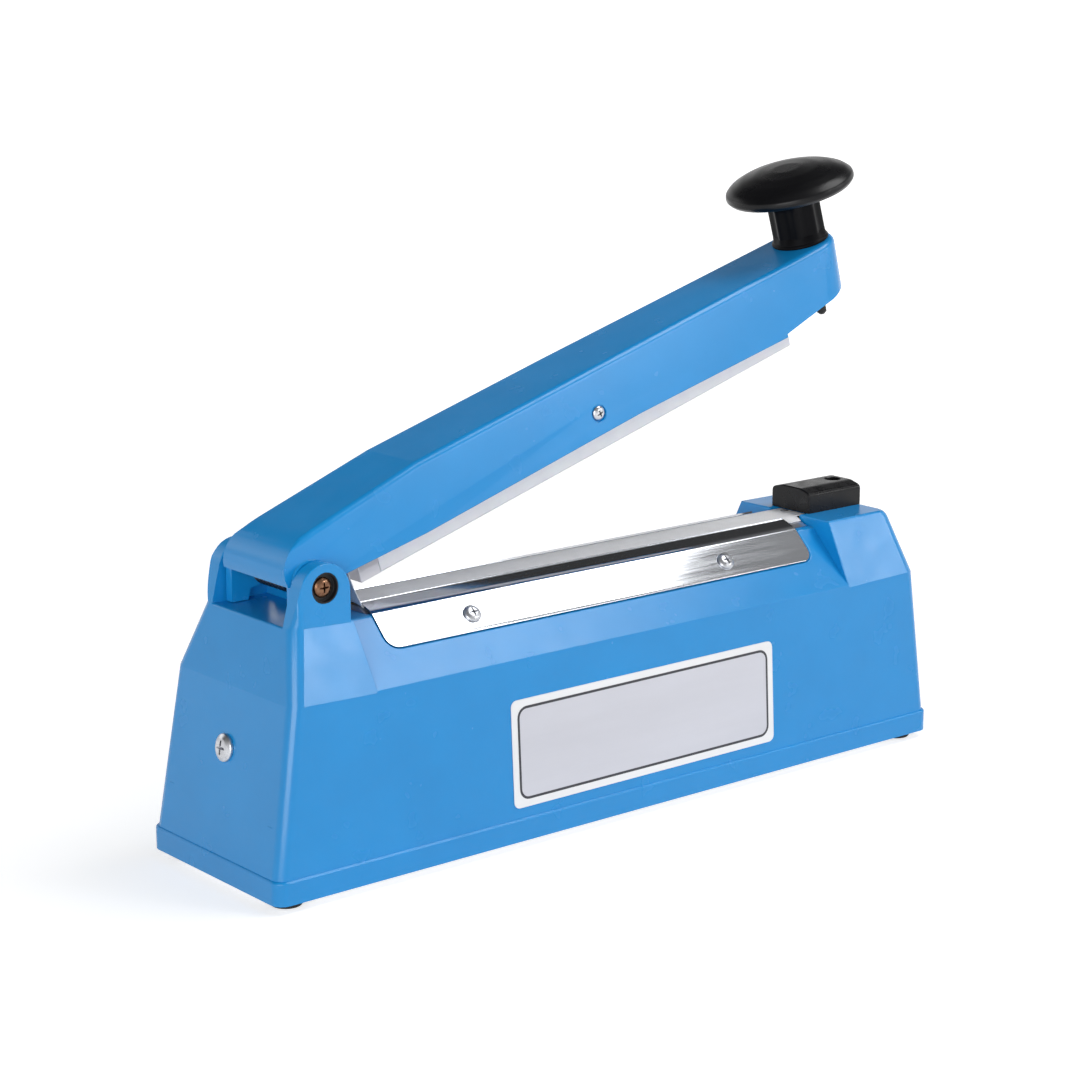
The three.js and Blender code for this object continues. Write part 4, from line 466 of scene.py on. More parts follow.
def extruded(outline, low_level, high_level):
    """A flat outline of (x, y) in metres run up along Z."""
    bm = bmesh.new()
    rings = [[bm.verts.new((p[0], p[1], level)) for p in outline] for level in (low_level, high_level)]
    bm.faces.new(rings[0][::-1])
    bm.faces.new(rings[1])
    for i in range(len(outline)):
        k = (i + 1) % len(outline)
        bm.faces.new((rings[0][i], rings[0][k], rings[1][k], rings[1][i]))
    bmesh.ops.recalc_face_normals(bm, faces=bm.faces)
    return bm


def standing(place, direction, along=(1, 0, 0)):
    """The matrix that stands a piece drawn round +Z at a place, turned to a direction."""
    up, side = Vector(direction).normalized(), Vector(along)
    right = (side - up * side.dot(up)).normalized()
    ahead = up.cross(right)
    return Matrix.Translation(place) @ Matrix((right, ahead, up)).transposed().to_4x4()


def linked(name, data):
    """An object with its data, put into the scene."""
    piece = bpy.data.objects.new(name, data)
    bpy.context.scene.collection.objects.link(piece)
    return piece


def add_object(name, source, kind):
    """Puts a mesh or a bmesh into the scene under a name with its finish."""
    mesh = source
    if isinstance(source, bmesh.types.BMesh):
        mesh = bpy.data.meshes.new(name)
        source.to_mesh(mesh)
        source.free()
    mesh.materials.clear()
    mesh.materials.append(finish_of(kind))
    return linked(name, mesh)


def evaluated(piece):
    """Turns a piece with its modifiers into a plain mesh."""
    bpy.context.view_layer.update()
    graph = bpy.context.evaluated_depsgraph_get()
    source = piece.evaluated_get(graph)
    mesh = bpy.data.meshes.new_from_object(source, preserve_all_data_layers=True, depsgraph=graph)
    piece.modifiers.clear()
    piece.data = mesh
    return piece


def flatten_wide(mesh, size):
    """Gives the corners of every face wider than a size the face's own normal."""
    normals = [corner.vector.copy() for corner in mesh.corner_normals]
    for face in mesh.polygons:
        ring = [mesh.vertices[k].co for k in face.vertices]
        longest = max((ring[k] - ring[k - 1]).length for k in range(len(ring)))
        if face.area > size * longest:
            for k in face.loop_indices:
                normals[k] = face.normal.copy()
    mesh.normals_split_custom_set(normals)


def smooth(piece, angle=34, weighted=True, facets=None):
    """Smooth shading up to an angle; faces wider than the size in facets stay flat."""
    mesh = piece.data
    mesh.polygons.foreach_set("use_smooth", [True] * len(mesh.polygons))
    mesh.set_sharp_from_angle(angle=math.radians(angle))
    if weighted:
        modifier = piece.modifiers.new("even faces", "WEIGHTED_NORMAL")
        modifier.keep_sharp = True
        modifier.weight = 80
        evaluated(piece)
    if facets:
        flatten_wide(piece.data, facets)
    return piece


def settle(piece, body, kind, *nodes):
    """Rides a finished piece on its body, in place of the CAD nodes that it stands for."""
    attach(piece, body)
    if nodes:
        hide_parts(*nodes)
    return piece


def place_mesh(piece, matrix):
    piece.data.transform(matrix)
    piece.data.update()
    return piece


def cut(piece, *tools):
    """Takes tools out of a piece and removes them from the scene."""
    for tool in tools:
        cutter = piece.modifiers.new(tool.name, "BOOLEAN")
        cutter.operation = "DIFFERENCE"
        cutter.solver = "EXACT"
        cutter.object = tool
    evaluated(piece)
    for tool in tools:
        bpy.data.objects.remove(tool)
    return piece


def welded(node):
    """A CAD node's loose triangles joined into faces."""
    bm = bmesh.new()
    bm.from_mesh(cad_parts[node].data)
    bmesh.ops.remove_doubles(bm, verts=bm.verts, dist=2e-6)
    bmesh.ops.dissolve_limit(bm, angle_limit=math.radians(0.6), verts=bm.verts, edges=bm.edges)
    return bm


def round_edges(bm, offset, wanted, segments=3, least_angle=28):
    """Rounds the outer convex edges that a test on middle, outward direction and length accepts."""
    tree = BVHTree.FromBMesh(bm)
    chosen = []
    for edge in bm.edges:
        if len(edge.link_faces) != 2 or not edge.is_convex:
            continue
        if edge.calc_face_angle(0) < math.radians(least_angle):
            continue
        centre = (edge.verts[0].co + edge.verts[1].co) / 2
        out = (edge.link_faces[0].normal + edge.link_faces[1].normal).normalized()
        if tree.ray_cast(centre + out * 5e-5, out)[0] is not None:
            continue
        if wanted(centre, out, edge.calc_length()):
            chosen.append(edge)
    if chosen:
        bmesh.ops.bevel(
            bm, geom=chosen, offset=offset, offset_type="OFFSET", segments=segments, profile=0.5, affect="EDGES",
            clamp_overlap=False, material=-1,
        )
        bmesh.ops.remove_doubles(bm, verts=bm.verts, dist=1e-6)
    return bm


# Node helpers, and the Geometry Nodes trees for what repeats


def wire(tree, *links):
    """Links nodes; each link is (node, output, node, input)."""
    for source, output, target, socket in links:
        tree.links.new(source.outputs[output], target.inputs[socket])


def maths(tree, operation):
    node = tree.nodes.new("ShaderNodeMath")
    node.operation = operation
    return node


def graded(tree, **levels):
    """A smooth Map Range node with some of its levels set."""
    node = tree.nodes.new("ShaderNodeMapRange")
    node.interpolation_type = "SMOOTHSTEP"
    for label, value in levels.items():
        node.inputs[label.replace("_", " ")].default_value = value
    return node


def tree_with(name, *sockets):
    """A Geometry Nodes tree with its inputs as (name, kind, default) and a material."""
    group = bpy.data.node_groups.new(name, "GeometryNodeTree")
    group.interface.new_socket("Geometry", in_out="INPUT", socket_type="NodeSocketGeometry")
    for label, kind, default in sockets:
        group.interface.new_socket(label, in_out="INPUT", socket_type="NodeSocket" + kind).default_value = default
    group.interface.new_socket("Material", in_out="INPUT", socket_type="NodeSocketMaterial")
    group.interface.new_socket("Geometry", in_out="OUTPUT", socket_type="NodeSocketGeometry")
    return group, group.nodes.new("NodeGroupInput")


def close_tree(group, start, last, output):
    """Ends a tree with Realize Instances and Set Material."""
    kinds = ("GeometryNodeRealizeInstances", "GeometryNodeSetMaterial", "NodeGroupOutput")
    realize, paint, end = (group.nodes.new(kind) for kind in kinds)
    wire(
        group, (last, output, realize, "Geometry"), (realize, "Geometry", paint, "Geometry"),
        (start, "Material", paint, "Material"), (paint, "Geometry", end, "Geometry"),
    )
    return group


def grid_tree():
    """Copies of the piece's own mesh on a grid of places."""
    group, start = tree_with(
        "grid of pieces", ("Length X", "Float", 0.1), ("Length Y", "Float", 0.1), ("Count X", "Int", 2),
        ("Count Y", "Int", 1),
    )
    grid = group.nodes.new("GeometryNodeMeshGrid")
    copies = group.nodes.new("GeometryNodeInstanceOnPoints")
    wire(
        group, (start, "Length X", grid, "Size X"), (start, "Length Y", grid, "Size Y"),
        (start, "Count X", grid, "Vertices X"), (start, "Count Y", grid, "Vertices Y"),
        (grid, "Mesh", copies, "Points"), (start, "Geometry", copies, "Instance"),
    )
    return close_tree(group, start, copies, "Instances")


def ring_tree():
    """Copies of the piece's own mesh turned round Z, over a part of a turn."""
    group, start = tree_with("ring of pieces", ("Count", "Int", 12), ("Sweep", "Float", 2 * math.pi))
    kinds = ("GeometryNodePoints", "GeometryNodeInputIndex", "ShaderNodeCombineXYZ", "GeometryNodeInstanceOnPoints")
    points, index, turn, copies = (group.nodes.new(kind) for kind in kinds)
    step, angle = maths(group, "DIVIDE"), maths(group, "MULTIPLY")
    wire(
        group, (start, "Count", points, "Count"), (start, "Sweep", step, 0), (start, "Count", step, 1),
        (index, "Index", angle, 0), (step, "Value", angle, 1), (angle, "Value", turn, "Z"),
        (points, "Points", copies, "Points"), (start, "Geometry", copies, "Instance"),
        (turn, "Vector", copies, "Rotation"),
    )
    return close_tree(group, start, copies, "Instances")


def wire_tree():
    """A round wire along the piece's own line."""
    group, start = tree_with("wire on a line", ("Radius", "Float", 0.0008), ("Sides", "Int", 12))
    kinds = ("GeometryNodeMeshToCurve", "GeometryNodeCurvePrimitiveCircle", "GeometryNodeCurveToMesh")
    curve, circle, tube = (group.nodes.new(kind) for kind in kinds)
    tube.inputs["Fill Caps"].default_value = True
    wire(
        group, (start, "Geometry", curve, "Mesh"), (start, "Radius", circle, "Radius"),
        (start, "Sides", circle, "Resolution"), (curve, "Curve", tube, "Curve"),
        (circle, "Curve", tube, "Profile Curve"),
    )
    return close_tree(group, start, tube, "Mesh")


TREES = {}


def patterned(piece, maker, kind, **inputs):
    """Runs a tree on a piece and keeps the result as a plain mesh."""
    if maker not in TREES:
        TREES[maker] = maker()
    group = TREES[maker]
    modifier = piece.modifiers.new(group.name, "NODES")
    modifier.node_group = group
    names = {s.name: s.identifier for s in group.interface.items_tree if s.in_out == "INPUT"}
    for label, value in inputs.items():
        modifier[names[label.replace("_", " ")]] = value
    modifier[names["Material"]] = finish_of(kind)
    return evaluated(piece)


# Pieces in rows, grids and rings, and turned fittings


def points_of(node):
    return [v.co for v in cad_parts[node].data.vertices]


def four(name):
    """The CAD nodes of a part that stands at the four corners."""
    return [f"{name}_{end}_{side}" for end in ("hinge", "front") for side in ("near", "far")]


def mirrored(side):
    """An outline's one half, from foot to top, with its mirror image from top to foot."""
    return side + [(-p[0], *p[1:]) for p in reversed(side)]


def bar(start, end, half, tip=None):
    """The outline of a bar along X, with another half width at its end if wanted."""
    tip = half if tip is None else tip
    return [(start, -half), (end, -tip), (end, tip), (start, half)]


def gridded(piece, kind, first, last, rows=1):
    """Repeats a piece between two CAD nodes, in one row or at the corners of a rectangle."""
    spread = middle(last) - middle(first)
    return patterned(piece, grid_tree, kind, Length_X=spread.x, Length_Y=spread.y, Count_X=2, Count_Y=rows)


def stand(piece, place, body, kind, *nodes, angle=34):
    """Moves a piece to its place, smooths it and settles it."""
    place_mesh(piece, place)
    return settle(smooth(piece, angle), body, kind, *nodes)


def fitting(name, profile, place, body, kind, *nodes, steps=4, sides=64, angle=34, tools=()):
    """Turns a profile of (radius, height, rounding) in mm, cuts tools out of it and stands it up."""
    piece = add_object(name, turned(filleted(profile, steps), sides), kind)
    if tools:
        cut(piece, *tools)
    return stand(piece, place, body, kind, *nodes, angle=angle)


def far_seat(node, proud, along=(1, 0, 0)):
    """The place of a fitting that stands proud of the far wall by mm, and its inner end's level."""
    centre, wall = middle(node), high(node).y / MM - proud
    return standing((centre.x, wall * MM, centre.z), (0, 1, 0), along), low(node).y / MM - wall


def screw_mesh(name, head_radius, head_height, shank_radius, shank_length, cross=0.62, kind="zinc"):
    """A crowned head with a cross recess, drawn round +Z with its seat on the level 0."""
    head = filleted(
        [
            (0, -shank_length, 0), (shank_radius * 0.7, -shank_length, 0.1),
            (shank_radius, -shank_length + 0.4, 0.1), (shank_radius, 0, 0), (head_radius, 0, 0.15),
            (head_radius, head_height * 0.45, 0.8), (head_radius * 0.62, head_height * 0.92, 2.5),
            (0, head_height, 0),
        ],
        5,
    )
    piece = add_object(name, turned(head, 48), kind)
    reach, half = head_radius * cross * MM, head_radius * 0.13 * MM
    quarter, plus = [(reach, half * 0.7), (half, half), (half * 0.7, reach)], []
    for _ in range(4):
        plus += quarter
        quarter = [(-y, x) for x, y in quarter]
    bm = extruded(plus, head_height * 0.2 * MM, head_height * 1.4 * MM)
    for vertex in bm.verts:
        if vertex.co.z < head_height * 0.5 * MM:
            vertex.co.x *= 0.55
            vertex.co.y *= 0.55
    return cut(piece, add_object(name + "_cross", bm, kind))


# Operators


class SEALER_OT_housing(bpy.types.Operator):
    """Rounded shell of the base with its two hinge ears"""

    bl_idname = "sealer.housing"
    bl_label = "Housing"

    def execute(self, context):
        sizes = context.scene.sealer_sizes
        bm = welded("base_housing")
        bore, ear_side, foot_rim = 0.0075, 0.0215, 0.004  # radius, distance and level, up to which edges stay sharp

        def ear_rim(centre, out, span):
            tall = centre.z > BLOCK_TOP + 0.0012 and PIN.x - 0.0090 < centre.x < PIN.x + 0.013
            from_pin = math.hypot(centre.x - PIN.x, centre.z - PIN.z)
            return tall and from_pin > bore and abs(centre.y) > ear_side

        def main_edge(centre, out, span):
            if out.z < -0.35 or centre.z < foot_rim:
                return False
            if centre.z > BLOCK_TOP + 0.0008 and centre.x < 0:
                return False
            return span > 0.0007

        round_edges(bm, sizes.ear_edge, ear_rim, 4)
        round_edges(bm, sizes.housing_edge, main_edge, 3)
        piece = smooth(add_object("housing", bm, "blue"), facets=0.003)
        settle(piece, "base", "blue", "base_housing")
        return {"FINISHED"}


class SEALER_OT_label(bpy.types.Operator):
    """Bare silver label with a thin dark line round it"""

    bl_idname = "sealer.label"
    bl_label = "Label"

    def execute(self, context):
        sizes = context.scene.sealer_sizes
        repaint("label", "label_plate")
        half = (high("label_plate") - low("label_plate")) / 2
        half_x, half_z = half.x - sizes.label_inset, half.z - sizes.label_inset

        def rounded_loop(inset):
            """The line's outline at an inset, with seven points in each corner."""
            radius = LABEL_CORNER - inset
            loop = []
            for k, (sx, sz) in enumerate(((1, 1), (-1, 1), (-1, -1), (1, -1))):
                for i in range(7):
                    angle = (k + i / 6) * math.pi / 2
                    x = sx * (half_x - inset - radius) + radius * math.cos(angle)
                    loop.append((x, sz * (half_z - inset - radius) + radius * math.sin(angle)))
            return loop

        bm = bmesh.new()
        outer_low, outer_high, inner_low, inner_high = (
            [bm.verts.new((x, y, level)) for x, y in rounded_loop(inset)]
            for inset in (0, sizes.label_line)
            for level in (0.00001, 0.00006)
        )
        loops = (outer_low, outer_high, inner_high, inner_low)
        for first, second in zip(loops, loops[1:] + loops[:1]):
            for i in range(len(first)):
                k = (i + 1) % len(first)
                bm.faces.new((first[i], first[k], second[k], second[i]))
        bmesh.ops.recalc_face_normals(bm, faces=bm.faces)
        place = standing(middle("label_plate") + NEAR_WALL * 0.00015, NEAR_WALL)
        stand(add_object("label_line", bm, "ink"), place, "base", "ink")
        field = extruded(rounded_loop(sizes.label_line * 0.9), 0.00001, 0.00004)
        stand(add_object("label_field", field, "field"), place, "base", "field")
        return {"FINISHED"}


class SEALER_OT_bed(bpy.types.Operator):
    """Cloth over the sealing bed, with the band wire's ridge and an upturned tail"""

    bl_idname = "sealer.bed"
    bl_label = "Sealing bed"

    def execute(self, context):
        repaint("aluminium", "bed_core")
        repaint("fibre", "insulation_strip")
        repaint("zinc", "heating_band")
        repaint("brass", "terminal_hinge", "terminal_front")
        self.cloth(context.scene.sealer_sizes)
        return {"FINISHED"}

    def cloth_rows(self, tail, thick):
        """Rows across the cloth as (x, rise, half width, share of the skirt's drop)."""
        fold, bed_end = low("bed_core").x, high("bed_core").x
        tail_steps, bed_steps, tail_lean = 10, 110, 0.0045
        rows = []
        for i in range(tail_steps):
            share = i / tail_steps
            lean = tail_lean * (1 - share) * (1 + 0.1 * math.sin(math.pi * share))
            rows.append((fold - lean + thick / 2, tail * (1 - share), 0.0103 + 0.0012 * share, 0.0))
        rows += [(fold + 0.0002, 0.0003, 0.0113, 0.0), (fold + 0.0007, 0.00002, 0.0111, 0.45)]
        start, end = fold + 0.0014, bed_end - 0.0002
        rows += [(start + (end - start) * i / bed_steps, 0.0, HALF_SKIRT, 1.0) for i in range(bed_steps + 1)]
        return rows + [(bed_end + 0.0006, 0.0, 0.0071, 0.0), (high("bed_cloth").x, 0.0, 0.0070, 0.0)]

    def cloth(self, sizes):
        tail, thick = 0.012, 0.00035
        half_flat, half_ridge, drop, columns = 0.00717, 0.0016, 0.0012, 24
        top = high("bed_cloth").z - tail - thick / 2

        def height(x, y, rise, bent):
            over = max(0.0, abs(y) - half_flat)
            slope = drop / (HALF_SKIRT - half_flat)
            level = top + rise - bent * slope * over * min(1.0, over / 0.0006 + 0.3)
            if bent:
                level += sizes.cloth_ridge * max(0.0, 1 - (abs(y) / half_ridge) ** 4)
                level += 0.00001 * math.sin(x * 900 + y * 700)
            return level

        bm = bmesh.new()
        uv = bm.loops.layers.uv.new("cloth")
        rows = self.cloth_rows(tail, thick)
        grid, travel, before = [], 0.0, rows[0][:2]
        for x, rise, half, bent in rows:
            travel += math.hypot(x - before[0], rise - before[1])
            before = (x, rise)
            across = [(2 * k / columns - 1) * half for k in range(columns + 1)]
            grid.append([(bm.verts.new((x, y, height(x, y, rise, bent))), (travel, y)) for y in across])
        for first, second in zip(grid, grid[1:]):
            for k in range(columns):
                corners = (first[k], second[k], second[k + 1], first[k + 1])
                face = bm.faces.new([corner[0] for corner in corners])
                for loop, corner in zip(face.loops, corners):
                    loop[uv].uv = corner[1]
        area = sum(face.calc_area() for face in bm.faces)
        piece = add_object("bed_cloth_weave", bm, "cloth")
        thicken = piece.modifiers.new("thickness", "SOLIDIFY")
        thicken.thickness = sizes.cloth_thickness
        thicken.offset = 0
        evaluated(piece)
        smooth(piece, 50, False)
        settle(piece, "base", "cloth", "bed_cloth")


class SEALER_OT_side_plates(bpy.types.Operator):
    """Bright bent plates that clamp the cloth"""

    bl_idname = "sealer.side_plates"
    bl_label = "Side plates"

    def execute(self, context):
        def at_bend(centre, out, span):
            return span > 0.05

        for side in ("near", "far"):
            node = f"side_plate_{side}"
            bm = round_edges(welded(node), context.scene.sealer_sizes.plate_bend, at_bend, 6, 8)
            settle(smooth(add_object(f"plate_{side}", bm, "polished"), 40), "base", "polished", node)
        return {"FINISHED"}


class SEALER_OT_screws(bpy.types.Operator):
    """Cross-head screws of the base, in rows and a grid"""

    bl_idname = "sealer.screws"
    bl_label = "Screws"

    def execute(self, context):
        self.plate_row("near", Vector((0, -FACET.y, FACET.z)))
        self.plate_row("far", FACET)
        feet = four("foot_screw")
        grid = gridded(screw_mesh("foot_screws", 2.9, 1.5, 1.5, 13.9), "zinc", feet[0], feet[3], 2)
        place = standing((0, 0, low(feet[0]).z + 0.0015), (0, 0, -1))
        stand(grid, place, "base", "zinc", *feet, angle=30)
        straps = ["strap_screw_hinge", "strap_screw_front"]
        self.pair("strap_screws", (3.8, 2.4, 2.0, 2.7), straps, 0, high(straps[0]).z - 0.0024, *straps)
        end = screw_mesh("end_face_screw", 5.0, 2.4, 2.0, 9.6)
        lean = Vector((-1, 0, END_DRAFT)).normalized()
        head, centre = max(p.dot(lean) for p in points_of("end_screw")), middle("end_screw")
        place = standing(centre + lean * (head - 0.0024 - centre.dot(lean)), lean, (0, 1, 0))
        stand(end, place, "base", "zinc", "end_screw", angle=30)
        repaint("zinc", "end_nut")
        ends = ["terminal_hinge", "terminal_front"]
        self.pair("terminal_screws", (2.4, 0.8, 1.2, 2.0), ends, 0.00285, high(ends[0]).z)
        return {"FINISHED"}

    def pair(self, name, size, nodes, y, level, *replaced):
        """Two screws that stand upright at a level over two CAD nodes."""
        row = gridded(screw_mesh(name, *size), "zinc", *nodes)
        centre = (middle(nodes[0]) + middle(nodes[1])) / 2
        stand(row, standing((centre.x, y, level), (0, 0, 1)), "base", "zinc", *replaced, angle=30)

    def plate_row(self, side, normal):
        """The two screws of a side plate, centred on the mean of the heads' highest vertices."""
        nodes = [f"plate_screw_{side}_hinge", f"plate_screw_{side}_front"]
        row = gridded(screw_mesh(f"plate_screws_{side}", 3.5, 1.7, 1.7, 10.6), "zinc", *nodes)
        tops = []
        for node in nodes:
            points = points_of(node)
            top = max(p.dot(normal) for p in points)
            tops += [p for p in points if p.dot(normal) > top - 0.00001]
        mean = sum(tops, Vector()) / len(tops)
        head = max(abs(p.dot(normal)) for node in nodes for p in points_of(node))
        seat = mean + normal * (head - 0.0017 - mean.dot(normal))
        stand(row, standing(seat, normal), "base", "zinc", *nodes, angle=30)


class SEALER_OT_cover(bpy.types.Operator):
    """Switch cover with a crowned top and the hole for the arm's pin, and the microswitch in it"""

    bl_idname = "sealer.cover"
    bl_label = "Switch cover"

    def execute(self, context):
        lowest, highest = low("switch_cover"), high("switch_cover")
        half, foot, crown = highest.y, lowest.z, highest.z
        wall = 0.0018
        section = mirrored([(half, foot, 0), (half, crown - 0.00155, 0.0021), (0.0054, crown, 0.008)])
        bm = extruded(filleted(section, 8), lowest.x, highest.x)
        rims = [
            e for e in bm.edges
            if abs(e.verts[0].co.z - e.verts[1].co.z) < 1e-6 and max(v.co.y for v in e.verts) > foot + 0.0005
        ]
        rounding = context.scene.sealer_sizes.cover_edge
        bmesh.ops.bevel(bm, geom=rims, offset=rounding, segments=4, profile=0.5, affect="EDGES")
        along_x = Matrix(((0, 0, 1, 0), (1, 0, 0, 0), (0, 1, 0, 0), (0, 0, 0, 1)))
        piece = place_mesh(add_object("cover", bm, "black"), along_x)
        inside = mirrored([(0.0090, foot - 0.001), (0.0090, crown - 0.0036), (0.0046, crown - wall)])
        hollow = add_object("cover_inside", extruded(inside, lowest.x + wall, highest.x - wall), "black")
        place_mesh(hollow, along_x)
        flared = [(0, 0), (3.2, 0), (3.2, 2.65), (3.6, 2.98), (3.6, 6), (0, 6)]
        hole = add_object("cover_hole", turned(flared, 48), "black")
        place_mesh(hole, Matrix.Translation((middle("microswitch_button").x, 0, crown - 0.003)))
        settle(smooth(cut(piece, hollow, hole)), "base", "black", "switch_cover")
        repaint("satin", "microswitch_body")
        repaint("zinc", "switch_bracket")
        repaint("lens", "microswitch_button")
        return {"FINISHED"}


class SEALER_OT_hinge(bpy.types.Operator):
    """Hinge bolt in the ears' counterbores with a black ring of painted shade round its head, its nut and the wound
    return spring
    """

    bl_idname = "sealer.hinge"
    bl_label = "Hinge"

    def execute(self, context):
        seat = low("hinge_bolt").y + 0.002
        span = high("hinge_bolt").y - seat
        place = standing((PIN.x, seat, PIN.z), (0, -1, 0))
        bolt = screw_mesh("hinge_bolt_head", 3.6, 1.9, 2.5, span / MM, 0.6, "yellow")
        stand(bolt, place, "base", "yellow", "hinge_bolt", angle=30)
        repaint("zinc", "hinge_nut")
        # Painted shade: a black ring in the counterbore round the bolt's head stands in for the shade in that
        # recess
        shade_ring = [
            (3.0, 0.05, 0), (5.35, 0.05, 0.1), (5.35, 2.25, 0.1), (4.95, 2.25, 0.1), (4.95, 0.35, 0.2),
            (3.0, 0.35, 0.1), (3.0, 0.05, 0),
        ]
        fitting("hinge_bush", shade_ring, place, "base", "satin", steps=3)
        self.ledge()
        self.spring()
        return {"FINISHED"}

    def ledge(self):
        """The low ledge with a raised middle between the ears."""
        outline = mirrored(
            [(0.0222, 0), (0.0222, 0.0034), (0.0170, 0.0034), (0.0164, 0.0055), (0.0152, 0.0068)]
        )
        bm = extruded(outline, 0, 0.0019)
        bmesh.ops.bevel(bm, geom=bm.edges[:], offset=0.00035, segments=2, profile=0.5, affect="EDGES")
        place = Matrix(((0, 0, 1, PIN.x + 0.0090), (1, 0, 0, 0), (0, 1, 0, BLOCK_TOP), (0, 0, 0, 1)))
        stand(add_object("hinge_ledge", bm, "blue"), place, "base", "blue")

    def spring(self):
        """The wound spring: a leg that follows the base, the turns and a leg that follows the arm."""
        radius, turns, leg_y, steps = 0.0046, 8, 0.0088, 260
        start = -math.pi / 2
        sweep = turns * 2 * math.pi - math.pi - OPEN_ANGLE

        def at(angle, y, run=0.0):
            radial = Vector((math.cos(angle), 0, math.sin(angle)))
            forward = Vector((math.sin(angle), 0, -math.cos(angle)))
            return Vector((PIN.x, y, PIN.z)) + radial * radius + forward * run

        points = [at(start, -leg_y, -0.011 + 0.002 * k) for k in range(5)]
        points += [at(start - sweep * i / steps, leg_y * (2 * i / steps - 1)) for i in range(steps + 1)]
        points += [at(start - sweep, leg_y, 0.003 + 0.0025 * k) for k in range(5)]
        mesh = bpy.data.meshes.new("return_spring_line")
        mesh.from_pydata([tuple(p) for p in points], [(i, i + 1) for i in range(len(points) - 1)], [])
        spring = add_object("return_spring_wire", mesh, "spring")
        patterned(spring, wire_tree, "spring", Radius=0.00078, Sides=12)
        smooth(spring, 50, False)
        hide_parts("return_spring")
        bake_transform(spring)


class SEALER_OT_controls(bpy.types.Operator):
    """Timer knob with numbers, lamp, fuse holder and cord gland on the far wall"""

    bl_idname = "sealer.controls"
    bl_label = "Controls"

    def execute(self, context):
        sizes = context.scene.sealer_sizes
        self.timer(sizes.timer_grips)
        self.numbers(sizes.timer_marks)
        self.lamp()
        self.fuse()
        self.gland(sizes.gland_ribs)
        return {"FINISHED"}

    def ribs(self, name, rib, count, place, body):
        """Ribs round a fitting."""
        piece = patterned(add_object(name, rib, "satin"), ring_tree, "satin", Count=count, Sweep=2 * math.pi)
        stand(piece, place, body, "satin", angle=30)

    def timer(self, grips):
        height = (high("timer_knob").y - low("timer_knob").y) / MM
        place = far_seat("timer_knob", height)[0]
        profile = [
            (0, 4.5, 0), (9.0, 4.5, 0.2), (9.0, 0, 0.1), (13, 0, 0.3), (13, 1.7, 0.5), (12.0, 2.5, 0.3),
            (10.9, height, 0.9), (8.6, height, 0.5), (8.2, height - 0.45, 0.4), (0, height - 0.45, 0),
        ]
        fitting("timer_knob_body", profile, place, "timer_dial", "satin", "timer_knob", sides=96, angle=36)
        rib = extruded(bar(0.0112, 0.0124, 0.0005, 0.0003), 0.0026, 0.0090)
        for vertex in rib.verts:
            if vertex.co.z > 0.005:
                vertex.co.x -= 0.0009
        self.ribs("timer_knob_ribs", rib, grips, place, "timer_dial")
        pointer = extruded(bar(0.0028, 0.0080, 0.00045), (height - 0.46) * MM, (height - 0.38) * MM)
        mark = add_object("timer_pointer", pointer, "print")
        place_mesh(mark, place @ Matrix.Rotation(POINTER_TURN, 4, "Z"))
        settle(mark, "timer_dial", "print")
        repaint("zinc", "timer_nut", "timer_control", "timer_shaft")

    def numbers(self, count):
        """Numbers from the dial's start to its end, as seen from behind, and a tick at each."""
        centre = middle("timer_knob")
        surface = (centre.x, HALF_WIDTH - DRAFT * (centre.z - WALL_FOOT), centre.z)
        wall = standing(surface, FAR_WALL, (-1, 0, 0))
        step = DIAL_SWEEP / (count - 1)
        bm = bmesh.new()
        for i in range(count):
            curve = bpy.data.curves.new(f"number_{i}", "FONT")
            curve.body, curve.size, curve.extrude = str(i + 1), 0.0042, 0.00004
            curve.align_x, curve.align_y = "CENTER", "CENTER"
            text = linked(f"number_{i}", curve)
            bpy.context.view_layer.update()
            graph = bpy.context.evaluated_depsgraph_get()
            mesh = bpy.data.meshes.new_from_object(text.evaluated_get(graph))
            angle = DIAL_START - step * i
            x, y = NUMBERS_RADIUS * math.cos(angle), NUMBERS_RADIUS * math.sin(angle)
            mesh.transform(wall @ Matrix.Translation((x, y, 0.00006)))
            bm.from_mesh(mesh)
            bpy.data.objects.remove(text)
        settle(add_object("timer_numbers", bm, "print"), "base", "print")
        ticks = add_object("timer_ticks", extruded(bar(0.0164, 0.0176, 0.0002), 0.00002, 0.0001), "print")
        patterned(ticks, ring_tree, "print", Count=count, Sweep=step * count)
        place_mesh(ticks, wall @ Matrix.Rotation(DIAL_START - DIAL_SWEEP, 4, "Z"))
        settle(ticks, "base", "print")

    def lamp(self):
        place, foot = far_seat("indicator_lamp", 4.4)
        bezel = [
            (0, foot, 0), (4.2, foot, 0.3), (4.2, 0.05, 0), (6, 0.05, 0.2), (6, 1.4, 0.5), (4.6, 1.4, 0.2),
            (4.4, 0.8, 0.1), (0, 0.8, 0),
        ]
        fitting("lamp_bezel", bezel, place, "base", "satin", "indicator_lamp")
        dome = [(0, 0.85, 0), (4.1, 0.85, 0.1), (4.1, 1.7, 0.8), (3.2, 3.6, 2), (1.6, 4.3, 2), (0, 4.4, 0)]
        fitting("lamp_lens", dome, place, "base", "lens", steps=6)

    def fuse(self):
        place, foot = far_seat("fuse_holder", 5, (1, 0, 0.4))
        cap = [
            (0, foot, 0), (5.6, foot, 0.3), (5.6, 0.05, 0), (7.6, 0.05, 0.2), (7.6, 1.5, 0.4),
            (6.6, 1.9, 0.2), (6.2, 5, 0.7), (0, 5, 0),
        ]
        slot = add_object("fuse_slot", extruded(bar(-0.0045, 0.0045, 0.0006), 0.0036, 0.007), "satin")
        fitting("fuse_cap", cap, place, "base", "satin", "fuse_holder", angle=30, tools=(slot,))

